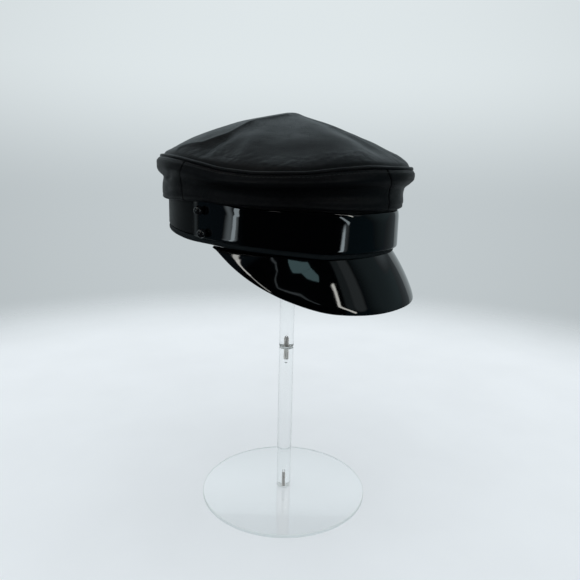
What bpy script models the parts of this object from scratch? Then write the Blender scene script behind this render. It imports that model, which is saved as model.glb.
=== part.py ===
"""A leather navy cap with a patent strap and peak, resting on a clear two-part rod stand.

Metres, +Z up. The origin is the middle of the stand's underside. The cap's front faces -Y, and the
wearer's right side faces -X. Angles round the cap run from its front, at 0 degrees, over the
wearer's right side, at 90, to its back, at 180. Negative angles are the wearer's left side.
"""

import math
from collections import namedtuple

import bmesh
import bpy
from mathutils import Matrix, Vector

# Clear stand
BASE_DIAMETER = 0.150
BASE_THICKNESS = 0.003
BASE_EDGE_ROUND = 0.0006
ROD_DIAMETER = 0.0127
LOWER_ROD_LENGTH = 0.1365
UPPER_ROD_LENGTH = 0.1981
ROD_TIP_ROUND = 0.003
ROD_EDGE_ROUND = 0.0003
FOOT_STUD_DIAMETER = 0.0020
JOINT_STUD_DIAMETER = 0.0032
STUD_TIP_ROUND = 0.0004
FOOT_STUD_IN_BASE = 0.0017
FOOT_STUD_IN_ROD = 0.0143
FOOT_HOLE_SPARE = 0.0030
JOINT_STUD_IN_LOWER_ROD = 0.0114
JOINT_STUD_IN_UPPER_ROD = 0.0088
JOINT_HOLE_SPARE_BELOW = 0.0037
JOINT_HOLE_SPARE_ABOVE = 0.0014

# Space between pieces that touch
CLEARANCE = 0.0003

# Head band, and where it sits over the rod
HEAD_LENGTH = 0.2016
HEAD_WIDTH = 0.1724
HEAD_SETBACK = 0.0106
BAND_LEATHER = 0.0020
HEIGHT_UNDER_CROWN = 0.0362
BAND_TILT_RISE = 0.0136
BAND_HIDDEN_HEIGHT = 0.0040
WELT_DIAMETER = 0.0056

# Patent strap and its buttons
STRAP_LEATHER = 0.0026
STRAP_TOP_DROP = 0.0016
STRAP_RISE_FROM_WELT_FOOT = 0.0037
STRAP_HALF_SPAN_DEG = 100.0
BUTTON_DIAMETER = 0.0070
BUTTON_HEIGHT = 0.0066
UPPER_BUTTON_ANGLE_DEG = 92.2
UPPER_BUTTON_DROP = 0.0064
LOWER_BUTTON_ANGLE_DEG = 90.3
LOWER_BUTTON_RISE = 0.0051

# Soft crown
CROWN_LEATHER = 0.0014
CROWN_RISE = 0.0446
CROWN_OVERHANG = 0.0122
WALL_HEIGHT = 0.0282
RIM_PIPING_DIAMETER = 0.0030
RIM_PIPING_OVERHANG = 0.0101
SIDE_SEAM_ANGLE_DEG = 105.0
SIDE_SEAM_LEAN_DEG = -7.0
FRONT_SEAM_LEAN_DEG = 9.0

# Peak over the eyes
PEAK_LEATHER = 0.0022
PEAK_DEPTH = 0.0428
PEAK_HALF_SPAN_DEG = 86.5
PEAK_FRONT_SLOPE_DEG = 64.5
PEAK_END_SLOPE_DEG = 40.0
PEAK_SEAT_DEG = 48.0
PEAK_SEAT_GAP = 0.0006
PEAK_END_DEPTH = 0.0020
PEAK_ROUNDNESS = 2.9
PEAK_FULLNESS = 1.35

# Fineness of the surfaces
RING_STEPS = 64
BASE_STEPS = 64
ROD_STEPS = 20
STUD_STEPS = 12
BUTTON_STEPS = 12
BALL_STEPS = 6
PEAK_STEPS = 34
PEAK_ROWS = 5
EDGE_STEPS = 3
MERGE_DISTANCE = 0.00001

# Heights round the cap. rim_drop is the rim's fall from the top, as a share of CROWN_RISE.
# tuck_drop is the wall's fall from the front of the rim, as a share of WALL_HEIGHT.
# tilt is the welt's rise from its lowest point, as a share of BAND_TILT_RISE.
# overhang and piping scale how far the wall and the rim piping stand off the head band.
HeightRow = namedtuple("HeightRow", "angle_deg rim_drop tuck_drop tilt overhang piping")
HEIGHT_ROWS = (
    HeightRow(0, 1.00, 1.045, 0.02, 1.02, 1.03),
    HeightRow(16, 1.00, 1.05, 0.00, 1.03, 1.04),
    HeightRow(30, 1.045, 1.02, 0.01, 1.07, 1.08),
    HeightRow(44, 1.11, 0.98, 0.15, 1.07, 1.08),
    HeightRow(60, 1.126, 0.96, 0.29, 1.03, 1.03),
    HeightRow(75, 1.087, 0.95, 0.40, 0.99, 0.98),
    HeightRow(90, 0.99, 0.895, 0.53, 0.97, 0.92),
    HeightRow(107, 0.90, 0.91, 0.60, 0.91, 0.78),
    HeightRow(122, 0.865, 0.935, 0.73, 0.83, 0.60),
    HeightRow(150, 0.853, 0.935, 0.93, 0.77, 0.47),
    HeightRow(180, 0.84, 0.92, 1.00, 0.77, 0.47),
)

# Wall section. down is the share of the wall's fall, and the others are its stand-off from the head
# band, as shares of CROWN_OVERHANG, at the cap's front, side and back.
WallRow = namedtuple("WallRow", "down front side back")
WALL_ROWS = (
    WallRow(0.00, 0.90, 0.84, 0.52),
    WallRow(0.06, 1.00, 0.95, 0.80),
    WallRow(0.13, 1.06, 1.02, 0.93),
    WallRow(0.24, 1.02, 1.02, 0.93),
    WallRow(0.36, 0.78, 0.86, 0.78),
    WallRow(0.48, 0.47, 0.59, 0.52),
    WallRow(0.66, 0.43, 0.47, 0.51),
    WallRow(0.90, 0.40, 0.46, 0.53),
    WallRow(1.00, 0.30, 0.41, 0.28),
)

# Crown top section. out is the share of the way from the tip to the rim, and the others are the fall
# from the tip, as shares of the rim's fall, towards the cap's front and back.
TopRow = namedtuple("TopRow", "out front back")
TOP_ROWS = (
    TopRow(0.00, 0.000, 0.000),
    TopRow(0.03, 0.002, 0.002),
    TopRow(0.06, 0.016, 0.014),
    TopRow(0.12, 0.072, 0.044),
    TopRow(0.25, 0.170, 0.115),
    TopRow(0.40, 0.290, 0.215),
    TopRow(0.55, 0.425, 0.350),
    TopRow(0.70, 0.565, 0.500),
    TopRow(0.83, 0.720, 0.680),
    TopRow(0.93, 0.845, 0.850),
    TopRow(0.975, 0.925, 0.925),
    TopRow(1.00, 1.000, 1.000),
)

# Folds of the crown top. Each is a soft ridge, or a hollow where its height is negative. out is the
# share of the way to the rim where it is deepest, and height is a share of CROWN_RISE.
FoldRow = namedtuple("FoldRow", "angle_deg width_deg out reach height")
FOLD_ROWS = (
    FoldRow(104, 13, 0.88, 0.18, -0.060),
    FoldRow(90, 8, 0.70, 0.25, -0.045),
    FoldRow(72, 10, 0.75, 0.30, 0.030),
    FoldRow(48, 14, 0.85, 0.18, -0.045),
    FoldRow(24, 10, 0.65, 0.35, 0.040),
    FoldRow(2, 7, 0.80, 0.18, -0.030),
    FoldRow(-36, 18, 0.93, 0.12, 0.100),
    FoldRow(-52, 12, 0.60, 0.22, -0.045),
    FoldRow(-85, 14, 0.80, 0.25, -0.045),
    FoldRow(-130, 12, 0.75, 0.30, 0.030),
    FoldRow(165, 14, 0.80, 0.25, -0.035),
)

# The strap's upper edge. drop is how far it lies below the crown wall's lower edge, as a share of
# STRAP_TOP_DROP. Where drop is negative the edge is hidden behind the wall.
StrapRow = namedtuple("StrapRow", "angle_deg drop")
STRAP_ROWS = (
    StrapRow(0, 0.63),
    StrapRow(17, 0.75),
    StrapRow(30, 0.81),
    StrapRow(45, 1.00),
    StrapRow(60, 0.94),
    StrapRow(70, 0.50),
    StrapRow(80, -0.50),
    StrapRow(92, -1.88),
    StrapRow(180, -1.88),
)


# An upright seam of the wall: its angle at the foot, and how far it leans round by the rim.
Seam = namedtuple("Seam", "foot_deg lean_deg")


def read_table(rows, column, position, level_ends):
    """Reads a table's column at a position, on a cubic that never swings past its rows."""
    places = [row[0] for row in rows]
    values = [getattr(row, column) for row in rows]
    position = min(max(position, places[0]), places[-1])
    slopes = [(values[i + 1] - values[i]) / (places[i + 1] - places[i]) for i in range(len(rows) - 1)]
    tangents = [0.0 if level_ends else slopes[0]]
    for before, after in zip(slopes, slopes[1:]):
        steady = before * after > 0.0
        tangents.append(2.0 * before * after / (before + after) if steady else 0.0)
    tangents.append(0.0 if level_ends else slopes[-1])
    index = max(i for i in range(len(slopes)) if places[i] <= position or i == 0)
    span = places[index + 1] - places[index]
    t = (position - places[index]) / span
    start, end = values[index], values[index + 1]
    pull_start, pull_end = tangents[index] * span, tangents[index + 1] * span
    rise = (3.0 - 2.0 * t) * t * t
    return start + (end - start) * rise + pull_start * t * (1.0 - t) ** 2 - pull_end * t * t * (1.0 - t)


def from_front(angle_deg):
    """An angle's distance from the front, 0 to 180 degrees, the same on both sides."""
    return abs((angle_deg + 180.0) % 360.0 - 180.0)


def height_share(column, angle_deg):
    """A share from the table of heights round the cap."""
    return read_table(HEIGHT_ROWS, column, from_front(angle_deg), level_ends=True)


def plan_point(angle_deg, stand_off, height):
    """A point round the cap, at a stand-off from the head band's outer face."""
    angle = math.radians(angle_deg)
    half_length = HEAD_LENGTH / 2.0 + stand_off
    half_width = HEAD_WIDTH / 2.0 + stand_off
    radius = 1.0 / math.hypot(math.cos(angle) / half_length, math.sin(angle) / half_width)
    return Vector((-radius * math.sin(angle), HEAD_SETBACK - radius * math.cos(angle), height))


def plan_outward(angle_deg):
    """The level direction that faces straight out of the head band at an angle."""
    point = plan_point(angle_deg, 0.0, 0.0)
    half_length = HEAD_LENGTH / 2.0
    half_width = HEAD_WIDTH / 2.0
    return Vector((point.x / half_width**2, (point.y - HEAD_SETBACK) / half_length**2, 0.0)).normalized()


# Heights that follow from the sizes above
LOWER_ROD_FOOT = BASE_THICKNESS + CLEARANCE
UPPER_ROD_FOOT = LOWER_ROD_FOOT + LOWER_ROD_LENGTH + CLEARANCE
ROD_TIP = UPPER_ROD_FOOT + UPPER_ROD_LENGTH
CROWN_TIP = ROD_TIP + CLEARANCE + CROWN_LEATHER
FRONT_RIM = CROWN_TIP - CROWN_RISE
FRONT_TUCK = FRONT_RIM - WALL_HEIGHT
STRAP_STAND_OFF = CLEARANCE + STRAP_LEATHER
WELT_FRONT_FOOT = FRONT_TUCK - HEIGHT_UNDER_CROWN
FOOT_HOLE_RADIUS = FOOT_STUD_DIAMETER / 2.0 + CLEARANCE
JOINT_HOLE_RADIUS = JOINT_STUD_DIAMETER / 2.0 + CLEARANCE


def rim_height(angle_deg):
    """Height of the seam between the crown's wall and its piping."""
    return CROWN_TIP - CROWN_RISE * height_share("rim_drop", angle_deg)


def tuck_height(angle_deg):
    """Height of the crown wall's lower edge."""
    return FRONT_RIM - WALL_HEIGHT * height_share("tuck_drop", angle_deg)


def welt_foot(angle_deg):
    """Height of the underside of the welt."""
    return WELT_FRONT_FOOT + BAND_TILT_RISE * height_share("tilt", angle_deg)


def band_foot(angle_deg):
    """Height of the head band's lower edge, just above the welt."""
    return welt_foot(angle_deg) + WELT_DIAMETER + CLEARANCE


def strap_foot(angle_deg):
    """Height of the strap's lower edge, which laps over the welt."""
    return welt_foot(angle_deg) + STRAP_RISE_FROM_WELT_FOOT


def strap_top(angle_deg):
    """Height of the strap's upper edge."""
    drop = read_table(STRAP_ROWS, "drop", from_front(angle_deg), level_ends=True)
    return tuck_height(angle_deg) - STRAP_TOP_DROP * drop


def band_top(angle_deg):
    """Height of the head band's upper edge, hidden in the crown."""
    return tuck_height(angle_deg) + BAND_HIDDEN_HEIGHT


def wall_stand_off(angle_deg, down):
    """The crown wall's stand-off from the band, a given share of the way down."""
    shares = [read_table(WALL_ROWS, side, down, level_ends=False) for side in ("front", "side", "back")]
    turn = from_front(angle_deg) / 90.0
    first = 0 if turn < 1.0 else 1
    t = turn - first
    ease = (3.0 - 2.0 * t) * t * t
    share = shares[first] + (shares[first + 1] - shares[first]) * ease
    return CROWN_OVERHANG * height_share("overhang", angle_deg) * share


def fold_height(angle_deg, out):
    """Height added to the crown top by its folds."""
    total = 0.0
    for fold in FOLD_ROWS:
        turn = (angle_deg - fold.angle_deg + 180.0) % 360.0 - 180.0
        across = turn / fold.width_deg
        along = (out - fold.out) / fold.reach
        total += fold.height * math.exp(-across * across - along * along)
    fade_at_tip_and_rim = math.sqrt(max(math.sin(math.pi * out), 0.0))
    return CROWN_RISE * total * fade_at_tip_and_rim


def make_material(name, colour, roughness, metallic=0.0, transmission=0.0):
    """A plain material with the piece's colour."""
    material = bpy.data.materials.new(name)
    material.use_nodes = True
    shader = material.node_tree.nodes["Principled BSDF"]
    shader.inputs["Base Color"].default_value = (*colour, 1.0)
    shader.inputs["Roughness"].default_value = roughness
    shader.inputs["Metallic"].default_value = metallic
    shader.inputs["Transmission Weight"].default_value = transmission
    return material


def add_object(name, data, material, collection):
    """Puts a mesh or curve into the cap's collection under its piece's name."""
    piece = bpy.data.objects.new(name, data)
    data.materials.append(material)
    collection.objects.link(piece)
    return piece


def turned(name, profile, steps, material, collection):
    """A turned piece. The profile runs from the axis down the outer side and back to the axis."""
    mesh = bpy.data.meshes.new(name)
    corners = [(radius, 0.0, height) for radius, height in profile]
    mesh.from_pydata(corners, [(i, i + 1) for i in range(len(corners) - 1)], [])
    piece = add_object(name, mesh, material, collection)
    screw = piece.modifiers.new("Turn", "SCREW")
    screw.steps = steps
    screw.render_steps = steps
    screw.use_merge_vertices = True
    screw.merge_threshold = MERGE_DISTANCE
    return piece


def edge_round(centre_radius, centre_height, radius, from_deg, to_deg):
    """Profile points on an arc, measured from straight out towards straight up."""
    points = []
    for angle_deg in evenly(from_deg, to_deg, EDGE_STEPS):
        angle = math.radians(angle_deg)
        points.append((centre_radius + radius * math.cos(angle), centre_height + radius * math.sin(angle)))
    return points


def lofted_shell(name, sections, closed, thickness, material, collection):
    """A leather wall whose outer face runs through sections that differ, thickened inwards."""
    count = len(sections[0])
    corners = [corner for section in sections for corner in section]
    around = count if closed else count - 1
    faces = []
    for row in range(len(sections) - 1):
        for step in range(around):
            here = row * count + step
            beside = row * count + (step + 1) % count
            faces.append((here, beside, beside + count, here + count))
    mesh = bpy.data.meshes.new(name)
    mesh.from_pydata(corners, [], faces)
    return thickened(add_object(name, mesh, material, collection), thickness)


def thickened(piece, thickness):
    """Gives an open surface its wall, on the inner side."""
    piece.data.shade_smooth()
    wall = piece.modifiers.new("Leather", "SOLIDIFY")
    wall.thickness = thickness
    wall.offset = -1.0
    wall.use_even_offset = True
    return piece


def ring_tube(name, centres, radius, material, collection):
    """A round cord of leather that closes on itself."""
    curve = bpy.data.curves.new(name, "CURVE")
    curve.dimensions = "3D"
    curve.bevel_depth = radius
    curve.bevel_resolution = 2
    spline = curve.splines.new("POLY")
    spline.points.add(len(centres) - 1)
    for point, centre in zip(spline.points, centres):
        point.co = (*centre, 1.0)
    spline.use_cyclic_u = True
    return add_object(name, curve, material, collection)


def ring_angles():
    """Angles once round the cap."""
    return [360.0 * step / RING_STEPS for step in range(RING_STEPS)]


def evenly(start, end, steps):
    """Values in even steps along an open stretch, with both its ends."""
    return [start + (end - start) * step / steps for step in range(steps + 1)]


def build_base(material, collection):
    """The round foot, with a blind hole for the stud."""
    radius = BASE_DIAMETER / 2.0
    edge = BASE_EDGE_ROUND
    hole_floor = BASE_THICKNESS - FOOT_STUD_IN_BASE - CLEARANCE
    profile = [(0.0, hole_floor), (FOOT_HOLE_RADIUS, hole_floor), (FOOT_HOLE_RADIUS, BASE_THICKNESS)]
    profile += edge_round(radius - edge, BASE_THICKNESS - edge, edge, 90.0, 0.0)
    profile += edge_round(radius - edge, edge, edge, 0.0, -90.0)
    profile.append((0.0, 0.0))
    return turned("stand_base", profile, BASE_STEPS, material, collection)


def build_rod(name, foot, length, hole_above, hole_below, tip_round, material, collection):
    """One section of the rod. Each hole is the radius and depth of a blind hole for a stud, or None."""
    top = foot + length
    radius = ROD_DIAMETER / 2.0
    edge = ROD_EDGE_ROUND
    profile = [(0.0, top)]
    if hole_above is not None:
        hole_radius, depth = hole_above
        profile = [(0.0, top - depth), (hole_radius, top - depth), (hole_radius, top)]
    profile += edge_round(radius - tip_round, top - tip_round, tip_round, 90.0, 0.0)
    profile += edge_round(radius - edge, foot + edge, edge, 0.0, -90.0)
    hole_radius, depth = hole_below
    profile += [(hole_radius, foot), (hole_radius, foot + depth), (0.0, foot + depth)]
    return turned(name, profile, ROD_STEPS, material, collection)


def build_stud(name, diameter, bottom, top, material, collection):
    """A metal stud that joins two pieces of the stand."""
    radius = diameter / 2.0
    edge = STUD_TIP_ROUND
    profile = [(0.0, top), (radius - edge, top), (radius, top - edge)]
    profile += [(radius, bottom + edge), (radius - edge, bottom), (0.0, bottom)]
    return turned(name, profile, STUD_STEPS, material, collection)


def build_stand(clear, metal, collection):
    """The foot, the two rod sections and the studs that hold them together."""
    build_base(clear, collection)
    foot_hole = (FOOT_HOLE_RADIUS, FOOT_STUD_IN_ROD + FOOT_HOLE_SPARE)
    below_joint = (JOINT_HOLE_RADIUS, JOINT_STUD_IN_LOWER_ROD + JOINT_HOLE_SPARE_BELOW)
    above_joint = (JOINT_HOLE_RADIUS, JOINT_STUD_IN_UPPER_ROD + JOINT_HOLE_SPARE_ABOVE)
    build_rod("lower_rod", LOWER_ROD_FOOT, LOWER_ROD_LENGTH, below_joint, foot_hole,
              ROD_EDGE_ROUND, clear, collection)
    build_rod("upper_rod", UPPER_ROD_FOOT, UPPER_ROD_LENGTH, None, above_joint,
              ROD_TIP_ROUND, clear, collection)
    build_stud("foot_stud", FOOT_STUD_DIAMETER, BASE_THICKNESS - FOOT_STUD_IN_BASE,
               LOWER_ROD_FOOT + FOOT_STUD_IN_ROD, metal, collection)
    build_stud("joint_stud", JOINT_STUD_DIAMETER,
               LOWER_ROD_FOOT + LOWER_ROD_LENGTH - JOINT_STUD_IN_LOWER_ROD,
               UPPER_ROD_FOOT + JOINT_STUD_IN_UPPER_ROD, metal, collection)


def piping_stand_off(angle_deg):
    """How far the middle of the rim piping stands off the head band."""
    return RIM_PIPING_OVERHANG * height_share("piping", angle_deg)


def build_crown_top(material, collection):
    """The soft top, drawn up into a tent by the tip of the rod."""
    piping_reach = RIM_PIPING_DIAMETER / 2.0 + CLEARANCE
    tip = Vector((0.0, 0.0, CROWN_TIP))
    sections = []
    for row in TOP_ROWS[1:]:
        section = []
        for angle in ring_angles():
            edge_height = rim_height(angle) + CLEARANCE + (RIM_PIPING_DIAMETER + CROWN_LEATHER) / 2.0
            edge = plan_point(angle, piping_stand_off(angle) - piping_reach, edge_height)
            back = (1.0 - math.cos(math.radians(angle))) / 2.0
            fall = row.front + (row.back - row.front) * back
            height = CROWN_TIP - (CROWN_TIP - edge.z) * fall + fold_height(angle, row.out)
            section.append(Vector((edge.x * row.out, edge.y * row.out, height)))
        sections.append(section)
    top = lofted_shell("crown_top", sections, True, CROWN_LEATHER, material, collection)
    close_tip(top.data, tip)
    return top


def close_tip(mesh, tip):
    """Joins the innermost section of the crown top to its tip."""
    shape = bmesh.new()
    shape.from_mesh(mesh)
    middle = shape.verts.new(tip)
    shape.verts.ensure_lookup_table()
    for step in range(RING_STEPS):
        face = shape.faces.new((middle, shape.verts[(step + 1) % RING_STEPS], shape.verts[step]))
        face.smooth = True
    shape.to_mesh(mesh)
    shape.free()


def build_wall_panel(name, start_seam, end_seam, material, collection):
    """One panel of the crown's side wall, between two seams that may lean as they rise."""
    half_gap_deg = math.degrees(CLEARANCE / HEAD_WIDTH)
    steps = round(RING_STEPS * (end_seam.foot_deg - start_seam.foot_deg) / 360.0)
    sections = []
    for row in WALL_ROWS:
        start = start_seam.foot_deg + start_seam.lean_deg * (1.0 - row.down) + half_gap_deg
        end = end_seam.foot_deg + end_seam.lean_deg * (1.0 - row.down) - half_gap_deg
        section = []
        for angle in evenly(start, end, steps):
            top = rim_height(angle) - CLEARANCE
            height = top + (tuck_height(angle) - top) * row.down
            section.append(plan_point(angle, wall_stand_off(angle, row.down), height))
        sections.append(section)
    return lofted_shell(name, sections, False, CROWN_LEATHER, material, collection)


def build_wall(material, collection):
    """The four panels of the crown's side wall."""
    seams = (
        Seam(0.0, FRONT_SEAM_LEAN_DEG),
        Seam(SIDE_SEAM_ANGLE_DEG, SIDE_SEAM_LEAN_DEG),
        Seam(180.0, 0.0),
        Seam(360.0 - SIDE_SEAM_ANGLE_DEG, -SIDE_SEAM_LEAN_DEG),
        Seam(360.0, FRONT_SEAM_LEAN_DEG),
    )
    names = ("wall_front_right", "wall_back_right", "wall_back_left", "wall_front_left")
    for name, start, end in zip(names, seams, seams[1:]):
        build_wall_panel(name, start, end, material, collection)


def build_rim_piping(material, collection):
    """The piping in the seam round the rim."""
    radius = RIM_PIPING_DIAMETER / 2.0
    centres = []
    for angle in ring_angles():
        height = rim_height(angle) + radius + CLEARANCE
        centres.append(plan_point(angle, piping_stand_off(angle), height))
    return ring_tube("rim_piping", centres, radius, material, collection)


def build_head_band(material, collection):
    """The band that goes round the head."""
    top = [plan_point(angle, 0.0, band_top(angle)) for angle in ring_angles()]
    foot = [plan_point(angle, 0.0, band_foot(angle)) for angle in ring_angles()]
    return lofted_shell("head_band", [top, foot], True, BAND_LEATHER, material, collection)


def build_strap(material, collection):
    """The patent strap over the front of the head band."""
    steps = round(RING_STEPS * STRAP_HALF_SPAN_DEG / 180.0)
    angles = evenly(-STRAP_HALF_SPAN_DEG, STRAP_HALF_SPAN_DEG, steps)
    top = [plan_point(angle, STRAP_STAND_OFF, strap_top(angle)) for angle in angles]
    foot = [plan_point(angle, STRAP_STAND_OFF, strap_foot(angle)) for angle in angles]
    return lofted_shell("patent_strap", [top, foot], False, STRAP_LEATHER, material, collection)


def build_welt(material, collection):
    """The rolled welt under the band, flush with the band's outer face."""
    radius = WELT_DIAMETER / 2.0
    centres = [plan_point(angle, -radius, welt_foot(angle) + radius) for angle in ring_angles()]
    return ring_tube("bottom_welt", centres, radius, material, collection)


def build_peak(material, collection):
    """The peak, which slopes down and out from under the front of the welt."""
    welt_radius = WELT_DIAMETER / 2.0
    seat = math.radians(PEAK_SEAT_DEG)
    root_stand_off = (welt_radius + PEAK_SEAT_GAP) * math.cos(seat) - welt_radius
    root_rise = welt_radius - (welt_radius + PEAK_SEAT_GAP) * math.sin(seat)
    sections = []
    for out in evenly(0.0, 1.0, PEAK_ROWS):
        section = []
        for share in evenly(-1.0, 1.0, PEAK_STEPS):
            angle = share * PEAK_HALF_SPAN_DEG
            fullness = max(1.0 - abs(share) ** PEAK_ROUNDNESS, 0.0) ** PEAK_FULLNESS
            depth = PEAK_END_DEPTH + (PEAK_DEPTH - PEAK_END_DEPTH) * fullness
            slope_deg = PEAK_FRONT_SLOPE_DEG + (PEAK_END_SLOPE_DEG - PEAK_FRONT_SLOPE_DEG) * share * share
            slope = math.radians(slope_deg)
            root = plan_point(angle, root_stand_off, welt_foot(angle) + root_rise)
            fall = Vector((0.0, 0.0, -math.sin(slope)))
            section.append(root + (plan_outward(angle) * math.cos(slope) + fall) * depth * out)
        sections.append(section)
    return lofted_shell("peak", sections, False, PEAK_LEATHER, material, collection)


def build_button(name, angle_deg, height, material, collection):
    """A ball-like button, cut flat where it sits on the strap's end."""
    radius = BUTTON_DIAMETER / 2.0
    middle = BUTTON_HEIGHT - radius
    profile = []
    for turn in evenly(0.0, math.acos(-middle / radius), BALL_STEPS):
        profile.append((radius * math.sin(turn), middle + radius * math.cos(turn)))
    profile.append((0.0, 0.0))
    button = turned(name, profile, BUTTON_STEPS, material, collection)
    outward = plan_outward(angle_deg)
    seat = plan_point(angle_deg, STRAP_STAND_OFF, height) + outward * CLEARANCE
    button.matrix_world = Matrix.Translation(seat) @ outward.to_track_quat("Z", "Y").to_matrix().to_4x4()
    return button


def build_buttons(material, collection):
    """Two buttons on each end of the strap."""
    upper = tuck_height(UPPER_BUTTON_ANGLE_DEG) - UPPER_BUTTON_DROP
    lower = strap_foot(LOWER_BUTTON_ANGLE_DEG) + LOWER_BUTTON_RISE
    for side, sign in (("right", 1.0), ("left", -1.0)):
        build_button(f"button_{side}_upper", sign * UPPER_BUTTON_ANGLE_DEG, upper, material, collection)
        build_button(f"button_{side}_lower", sign * LOWER_BUTTON_ANGLE_DEG, lower, material, collection)


def main():
    """Clears the scene and builds the cap and its stand."""
    for leftover in list(bpy.data.objects):
        bpy.data.objects.remove(leftover, do_unlink=True)
    collection = bpy.data.collections.new("leather_navy_cap")
    bpy.context.scene.collection.children.link(collection)
    clear = make_material("Clear acrylic", (0.93, 0.95, 0.95), 0.05, transmission=1.0)
    metal = make_material("Bright metal", (0.55, 0.55, 0.56), 0.3, metallic=1.0)
    soft = make_material("Soft black leather", (0.012, 0.013, 0.016), 0.45)
    band = make_material("Smooth black leather", (0.012, 0.013, 0.015), 0.35)
    patent = make_material("Patent black leather", (0.004, 0.004, 0.005), 0.06)
    glossy = make_material("Black button", (0.006, 0.006, 0.007), 0.15)
    build_stand(clear, metal, collection)
    build_crown_top(soft, collection)
    build_wall(soft, collection)
    build_rim_piping(soft, collection)
    build_head_band(band, collection)
    build_strap(patent, collection)
    build_welt(band, collection)
    build_peak(patent, collection)
    build_buttons(glossy, collection)


main()
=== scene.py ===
"""The looks of a leather navy cap on a clear hat stand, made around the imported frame.

Metres, +Z up. The origin is the middle of the stand's underside, the cap's front faces -Y and the
wearer's right side faces -X. Angles round the cap run from its front, at 0 degrees, over the wearer's
right side, at 90, to its back, at 180. Negative angles are the wearer's left side.
"""

from __future__ import annotations

import logging
import math
from bisect import bisect_right
from collections.abc import Callable, Iterable, Sequence
from dataclasses import dataclass, field
from enum import Enum, IntEnum
from typing import NamedTuple

import bmesh
import bpy
from mathutils import Matrix, Vector, noise


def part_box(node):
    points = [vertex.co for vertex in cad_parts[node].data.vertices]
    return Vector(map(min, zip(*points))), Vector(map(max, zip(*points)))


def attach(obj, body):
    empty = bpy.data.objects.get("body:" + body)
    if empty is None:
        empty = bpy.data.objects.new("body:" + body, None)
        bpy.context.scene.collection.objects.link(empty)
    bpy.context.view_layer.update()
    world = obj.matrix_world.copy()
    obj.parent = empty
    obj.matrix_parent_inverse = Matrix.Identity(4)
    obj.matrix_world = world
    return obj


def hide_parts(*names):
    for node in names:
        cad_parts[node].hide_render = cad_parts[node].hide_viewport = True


LOG = logging.getLogger("navy_cap")
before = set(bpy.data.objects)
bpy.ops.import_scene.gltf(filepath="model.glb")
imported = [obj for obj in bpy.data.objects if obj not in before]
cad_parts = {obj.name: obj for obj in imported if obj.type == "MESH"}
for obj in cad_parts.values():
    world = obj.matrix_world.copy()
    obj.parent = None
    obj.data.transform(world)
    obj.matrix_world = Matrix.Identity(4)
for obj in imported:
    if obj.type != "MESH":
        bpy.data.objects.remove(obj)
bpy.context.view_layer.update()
BODY = "root"
MILLIMETRE = 0.001
GRID_MERGE = 0.000002
TURNED_MERGE = 0.000001
FOLD_FAR_SQUARED = 12.0
EDGE_SEGMENTS = 3
EDGE_ANGLE_DEG = 55.0

BMesh = bmesh.types.BMesh
Material = bpy.types.Material
NodeTree = bpy.types.NodeTree
Socket = bpy.types.NodeSocket
Colour = tuple[float, float, float]
Span = tuple[float, float]
Place = Callable[[float, float], Vector]
Facing = Callable[[Vector], Vector]


class Side(Enum):
    """A side of the wearer's head, with the sign of its angles."""

    RIGHT = 1
    LEFT = -1


class HeightRow(NamedTuple):
    """Heights and overhangs at one angle from the front, as shares of the cap's sizes."""

    angle_deg: float
    rim_drop: float
    tuck_drop: float
    tilt: float
    overhang: float
    piping: float


class WallRow(NamedTuple):
    """The crown wall's stand-off at one share of its fall, as shares of the overhang."""

    down: float
    front: float
    side: float
    back: float


class TopRow(NamedTuple):
    """The crown top's fall at one share of the way to the rim, as shares of the rim's fall."""

    out: float
    front: float
    back: float


class StrapRow(NamedTuple):
    """How far the strap's upper edge lies below the crown wall's, at one angle from the front."""

    angle_deg: float
    drop: float


class SeamRow(NamedTuple):
    """How far the upright seams lean at one share of the way down, in degrees."""

    down: float
    front: float
    side: float


class Ridge(NamedTuple):
    """A sharp ridge of the crown's top, or a crease where its height is negative.

    Its path is an angle and a share of the way out for each corner. Its height falls away on both
    sides over half_width.
    """

    path: tuple[tuple[float, float], ...]
    half_width: float
    height: float


class Fold(NamedTuple):
    """A soft ridge of leather, or a hollow where its height is negative.

    Its middle is at angle_deg and at the share place of the way out or down. slant moves it along by
    that share for each degree of turn, and height is a share of the size that the folds follow.
    """

    angle_deg: float
    width_deg: float
    place: float
    reach: float
    height: float
    slant: float = 0.0


HEIGHT_ROWS = (
    HeightRow(0, 1.00, 1.045, 0.02, 1.02, 1.03),
    HeightRow(16, 1.00, 1.05, 0.00, 1.03, 1.04),
    HeightRow(30, 1.045, 1.02, 0.01, 1.07, 1.08),
    HeightRow(44, 1.11, 0.98, 0.15, 1.07, 1.08),
    HeightRow(60, 1.126, 0.96, 0.29, 1.03, 1.03),
    HeightRow(75, 1.087, 0.95, 0.40, 0.99, 0.98),
    HeightRow(90, 0.99, 0.895, 0.53, 0.97, 0.92),
    HeightRow(107, 0.90, 0.91, 0.60, 0.91, 0.78),
    HeightRow(122, 0.865, 0.935, 0.73, 0.83, 0.60),
    HeightRow(150, 0.853, 0.935, 0.93, 0.77, 0.47),
    HeightRow(180, 0.84, 0.92, 1.00, 0.77, 0.47),
)
WALL_ROWS = (
    WallRow(0.00, 0.90, 0.84, 0.52),
    WallRow(0.05, 0.99, 0.94, 0.78),
    WallRow(0.12, 1.06, 1.02, 0.93),
    WallRow(0.24, 1.02, 1.02, 0.93),
    WallRow(0.36, 0.78, 0.86, 0.78),
    WallRow(0.48, 0.46, 0.58, 0.50),
    WallRow(0.62, 0.42, 0.46, 0.50),
    WallRow(0.78, 0.43, 0.47, 0.51),
    WallRow(0.91, 0.40, 0.49, 0.54),
    WallRow(1.00, 0.30, 0.50, 0.34),
)
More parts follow.
